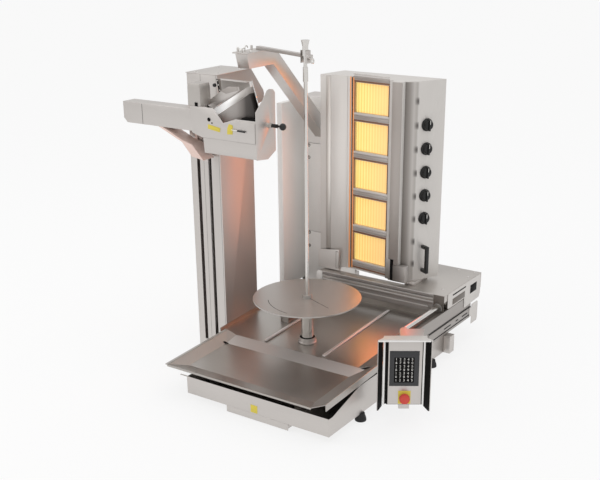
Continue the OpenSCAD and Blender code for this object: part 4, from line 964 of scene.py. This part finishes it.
# %% Figures on the screen
FIGURE_ROWS, FIGURE_COLUMNS, FIGURE_HEIGHT = 7, 5, 13
for key in range(1, FIGURE_ROWS * FIGURE_COLUMNS + 1):
    row, column = divmod(key - 1, FIGURE_COLUMNS)
    bpy.ops.object.text_add(location=(0, 0, 0))
    text = bpy.context.object.data
    text.body = str(key % 10)
    text.size = FIGURE_HEIGHT * MM
    text.align_x = "CENTER"
    text.extrude = 0.1 * MM
    take(bpy.context.object)
    bpy.ops.object.convert(target="MESH")
    figure = bpy.context.object
    figure.data.transform(Matrix.Translation(at(-32.5 + column * 14.5, -5.1, 181 - row * 14))
                          @ Matrix.Rotation(math.radians(90), 4, "X"))
    on_panel(finish_piece(figure, f"figure_{key}", "base", WHITE))
print("figures:", key)

# %% [markdown]
# ## The hood over the panel
# A folded steel hood with two flared side flaps, black inside, keeps fat and light off the screen.
# It could be one sheet with its inside painted by a mask. Two thin sheets back to back, one of
# steel and one black, are simpler and stay sharp at the edge. A pale flange stands at each flap's
# root.

# %% Hood with flared flaps
FLAP_ROOT = {-1: -83, 1: 71.9}
FLAP_REACH = {-1: 26, 1: 30}
FLAP_FLARE = 45


def flap(side):
    """A side flap and the flange at its root. Returns the flange."""
    root = FLAP_ROOT[side]
    for name, finish, shift, shorter in ((f"flap_steel_{side + 2}", SHEET_UP, side * 0.4, 0),
                                         (f"flap_black_{side + 2}", DARK, -side * 0.6, 2)):
        reach = FLAP_REACH[side] - shorter
        sheet = cut_plate(name, "base", finish, "yz",
                          [(-reach, -16), (-reach + 4, -19), (0, -6), (0, 265), (-reach, 265)],
                          -0.6, 1.2, 0.3)
        on_panel(set_in(sheet, (root + shift, 0, 0), side * FLAP_FLARE))
    start = root - 2.5 - side * 5
    return panel_plate(f"flap_flange_{side + 2}", BRIGHT, oblong(start, 0, start + 7, 265),
                       -2.5, 2.5, 0.6)


for side in (-1, 1):
    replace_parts(flap(side), "control_hood")
on_panel(cut_plate("hood_top", "base", SHEET_SOFT, "xy",
                   [(-77, 22), (-83, 0), (-101, -19), (96, -19), (77, 0), (77, 22)],
                   264.9, 2.4, 0.8))
panel_plate("hood_lip", BRIGHT, [(-100, 259), (95, 259), (96, 267), (-101, 267)], -19, 1.6, 0.6)
panel_plate("hood_back_gap", DARK, oblong(-78, 2, -60, 264), 1.5, 1, 0)
panel_plate("hood_shadow_gap", DARK, oblong(-66, 259, 66, 265), -2.6, 2.4, 0.3)
print("hood built")

# %% [markdown]
# ## Rails and carriage
# The heater's carriage runs on a telescopic slide and two rods. Along the slide's side run its dark
# joint lines, the carriage has screws, a slotted end plate and a boss, and its beam is pressed into
# grooves. A groove could be cut into the beam, but the CAD beam has to stay as it is. So the
# grooves are built up the other way round: ridges of a lighter steel are laid on, and what lies
# between them is painted dark as their shade.

# %% Slide lines and rail ends
SLIDE_FACE = 400.1
slide_marks = (("line_1", 290, 158, 686, 162), ("line_2", 326, 121, 686, 125.5),
               ("slot_1", 430, 136, 492, 141), ("slot_2", 540, 136, 562, 141),
               ("slot_3", 600, 136, 652, 141))
for name, *corners in slide_marks:
    cut_plate(f"slide_{name}", "base", DARK, "yz", oblong(*corners), SLIDE_FACE, 0.5, 0.1)
# A dark plate on the rail's top, under the rod: painted shade.
cut_plate("rail_top_painted_shade", "base", RAIL_DARK, "xy", oblong(350, 113, 395, 466), 214.1, 0.8, 0.3)
cut_plate("rail_end_plate", "base", SHEET_SOFT, "yz",
          [(694, 74), (748, 74), (755, 84), (755, 160), (748, 167), (694, 167), (694, 154),
           (672, 154), (672, 112), (694, 112)], 399, 2.5, 1.0)
for i, y in enumerate((442, 462)):
    screw(f"cover_screw_{i + 1}", "base", (427, y, 92), (1, 0, 0), 4, 1.5)
print("slide marks:", len(slide_marks))

# %% Carriage screws and side plate
for i, (x, y) in enumerate(((352, 500), (300, 760), (375, 700), (372, 770), (215, 620))):
    screw(f"carriage_screw_{i + 1}", "carriage", (x, y, 286), UP, 5.5, 1.6)
cut_plate("carriage_side", "carriage", SHEET_SOFT, "yz",
          [(456, 222), (617, 222), (617, 173), (765, 178), (777, 196), (777, 258), (762, 285),
           (456, 285)], 397.1, 2.2, 1.0)
for name, finish, *corners in (("slot", DARK, 500, 266, 625, 272),
                               ("window", RAIL_DARK, 500, 225, 618, 252),
                               ("port", DARK, 672, 222, 735, 260)):
    cut_plate(f"carriage_side_{name}", "carriage", finish, "yz", oblong(*corners), 399.4, 0.5, 0.2)
print("carriage side dressed")

# %% Beam ridges, cross sheet and boss
BEAM_BACK = 428.8
# Lighter steel on the ridges and darker steel between them: painted highlight and shade.
for name, finish, z0, z1, front in (
        ("beam_web", BEAM_DARK, 238, 262.5, 427.4), ("beam_top_line", BEAM, 281, 285.4, 424.6),
        ("beam_groove", BEAM_DARK, 270, 280, 425.6), ("beam_ridge", BEAM, 262, 268, 424.4),
        ("beam_low_ridge", BEAM, 247, 254, 425.4)):
    cut_plate(name, "carriage", finish, "xz", oblong(-205, z0, 345, z1), front,
              BEAM_BACK - front, 0.6)
cut_plate("beam_web_end", "carriage", BEAM_DARK, "xz", oblong(322, 217, 345, 238), 427.4, 1.4, 0.4)
cut_plate("rear_cross_sheet", "base", BEAM_DARK, "xz",
          [(-173, 198), (347, 198), (347, 213), (322, 213), (322, 236), (-160, 236), (-160, 213),
           (-173, 213)], 437, 2.5, 0.8)
cut_plate("rear_cross_fold", "base", BEAM, "xz", oblong(-158, 219, 320, 225), 435.6, 2, 0.6)
cut_plate("beam_end", "carriage", LIGHT_UP, "xz",
          [(-236, 240), (-206, 240), (-206, 285), (-228, 285), (-236, 276)], 423.4, 5.4, 1.5)
cut_plate("carriage_end_face", "carriage", RAIL_DARK, "xz", oblong(347, 217, 396, 284), 424.2,
          1.6, 0.6)
turned("carriage_boss", "carriage", CAST, (369, 424, 229), TO_FRONT,
       [(21, 0), (21, 4), (19, 6)], 36)
print("rails dressed")

# %% [markdown]
# ## Floor and world
# The picture is a studio shot on white. The white could come from stronger lamps, but they would
# bleach the steel. Instead the floor glows only where the camera or a reflection sees it, and the
# world is pure white only to the camera. Both light the machine softly, and the floor keeps a
# faint shadow.

# %% White floor
FLOOR_GLOW = 0.78
FLOOR_SIZE = 120
FLOOR_GAP = 0.5 * MM


def white_floor():
    """A wide pale floor just below the feet, which keeps the shadows."""
    bpy.ops.mesh.primitive_plane_add(size=FLOOR_SIZE, location=(0, 0, -FLOOR_GAP))
    floor = bpy.context.object
    floor.name = "studio_floor"
    m, tree, shader = new_material("studio_floor_white")
    set_shader(tree, shader, {}, {"Base Color": linear("#F7F7F7"), "Roughness": 0.9,
                                  "Specular IOR Level": 0.0})
    path = add(tree, "ShaderNodeLightPath")
    seen = add(tree, "ShaderNodeMath",
               links={0: path.outputs["Is Camera Ray"], 1: path.outputs["Is Glossy Ray"]},
               operation="MAXIMUM")
    share = add(tree, "ShaderNodeMath", {1: FLOOR_GLOW}, {0: seen.outputs[0]},
                operation="MULTIPLY")
    glow = add(tree, "ShaderNodeEmission", {"Color": linear("#FCFCFC"), "Strength": 1.0})
    mix = add(tree, "ShaderNodeMixShader",
              links={0: share.outputs[0], 1: shader.outputs[0], 2: glow.outputs[0]})
    tree.links.new(mix.outputs[0], tree.nodes["Material Output"].inputs["Surface"])
    dress(floor, m)


nothing_selected()
white_floor()
print("floor laid")

# %% White world
WORLD_LIGHT = 0.95


def white_world():
    """A soft sky that is greyer near the floor, and pure white where the camera sees it."""
    world = bpy.data.worlds.new("studio_world")
    bpy.context.scene.world = world
    world.use_nodes = True
    tree = world.node_tree
    back = tree.nodes["Background"]
    path = add(tree, "ShaderNodeLightPath")
    place = add(tree, "ShaderNodeTexCoord")
    parts = add(tree, "ShaderNodeSeparateXYZ", links={"Vector": place.outputs["Generated"]})
    ramp = add(tree, "ShaderNodeValToRGB", links={"Fac": parts.outputs["Z"]})
    set_stops(ramp, (0.0, linear("#D6D5D4")), (0.6, linear("#FFFFFF")))
    tree.links.new(ramp.outputs["Color"], back.inputs["Color"])
    back.inputs["Strength"].default_value = WORLD_LIGHT
    white = add(tree, "ShaderNodeBackground", {"Color": linear("#FFFFFF"), "Strength": 1.0})
    mix = add(tree, "ShaderNodeMixShader",
              links={0: path.outputs["Is Camera Ray"], 1: back.outputs[0], 2: white.outputs[0]})
    tree.links.new(mix.outputs[0], tree.nodes["World Output"].inputs["Surface"])


white_world()
print("world light:", WORLD_LIGHT)

# %% [markdown]
# ## Lamps
# Two large soft lamps give the steel its direction, as the boxes in a studio do, and a narrow one
# lifts the shaded post. The burners' glow on the column and the pan could come from the ceramic
# itself, but so little light takes long to settle, so two small orange lamps stand in for it. They
# ride with the heater's carriage.

# %% Lamps
def lamp(name, place, aim, width, watts, colour="#FFFFFF", height=None, spread=180):
    """A soft rectangular lamp that faces a point."""
    data = bpy.data.lights.new(name, "AREA")
    data.size = width
    if height:
        data.shape = "RECTANGLE"
        data.size_y = height
    data.energy = watts
    data.color = linear(colour)[:3]
    data.spread = math.radians(spread)
    obj = bpy.data.objects.new(name, data)
    bpy.context.scene.collection.objects.link(obj)
    obj.location = place
    obj.rotation_euler = (Vector(aim) - Vector(place)).to_track_quat("-Z", "Y").to_euler()
    return obj


lamp("soft_left", (-2.6, -2.8, 3.2), (0, 0, 0.6), 2.6, 22)
lamp("soft_top", (0.8, -0.6, 4.2), (0, 0, 0.5), 3.0, 18)
fill = lamp("post_fill", at(-170, -40, 820), at(-270, 530, 760), 0.3, 0.31, height=0.8, spread=110)
glow = lamp("burner_glow", at(5, 452, 705), at(-145, 122, 690), 0.16, 0.56, "#FF7049",
            height=0.75, spread=140)
low_glow = lamp("burner_glow_low", at(220, 330, 400), at(230, 100, 140), 0.22, 0.12, "#FF6A40",
                spread=90)
for small in (fill, glow, low_glow):
    small.visible_camera = False
for orange in (glow, low_glow):
    orange.parent = frame["bodies"]["carriage"]
print("lamps:", len(bpy.data.lights))

# %% [markdown]
# ## Camera
# The camera stands where the photograph was taken: at the front right, looking down about 22
# degrees. It could be placed by eye. Its place, turn and lens were worked out instead from the
# lines of the machine that meet far away, so that the two pictures can be laid over each other.

# %% Camera
camera_data = bpy.data.cameras.new("photo_camera")
camera = bpy.data.objects.new("photo_camera", camera_data)
bpy.context.scene.collection.objects.link(camera)
camera.location = at(2070.7, -3052.75, 1736.0)
camera.rotation_euler = Euler([math.radians(a) for a in (68.4189, 0.5672, 34.4156)])
camera_data.lens = 59.24
camera_data.sensor_width = 36
camera_data.shift_x = 0.001
camera_data.shift_y = 0.1187
camera_data.clip_end = 200
bpy.context.scene.camera = camera
bpy.context.scene.view_settings.view_transform = "Standard"
print("camera at", [round(v, 3) for v in camera.location])

# %% Finish: bring the scene up to date
bpy.context.view_layer.update()
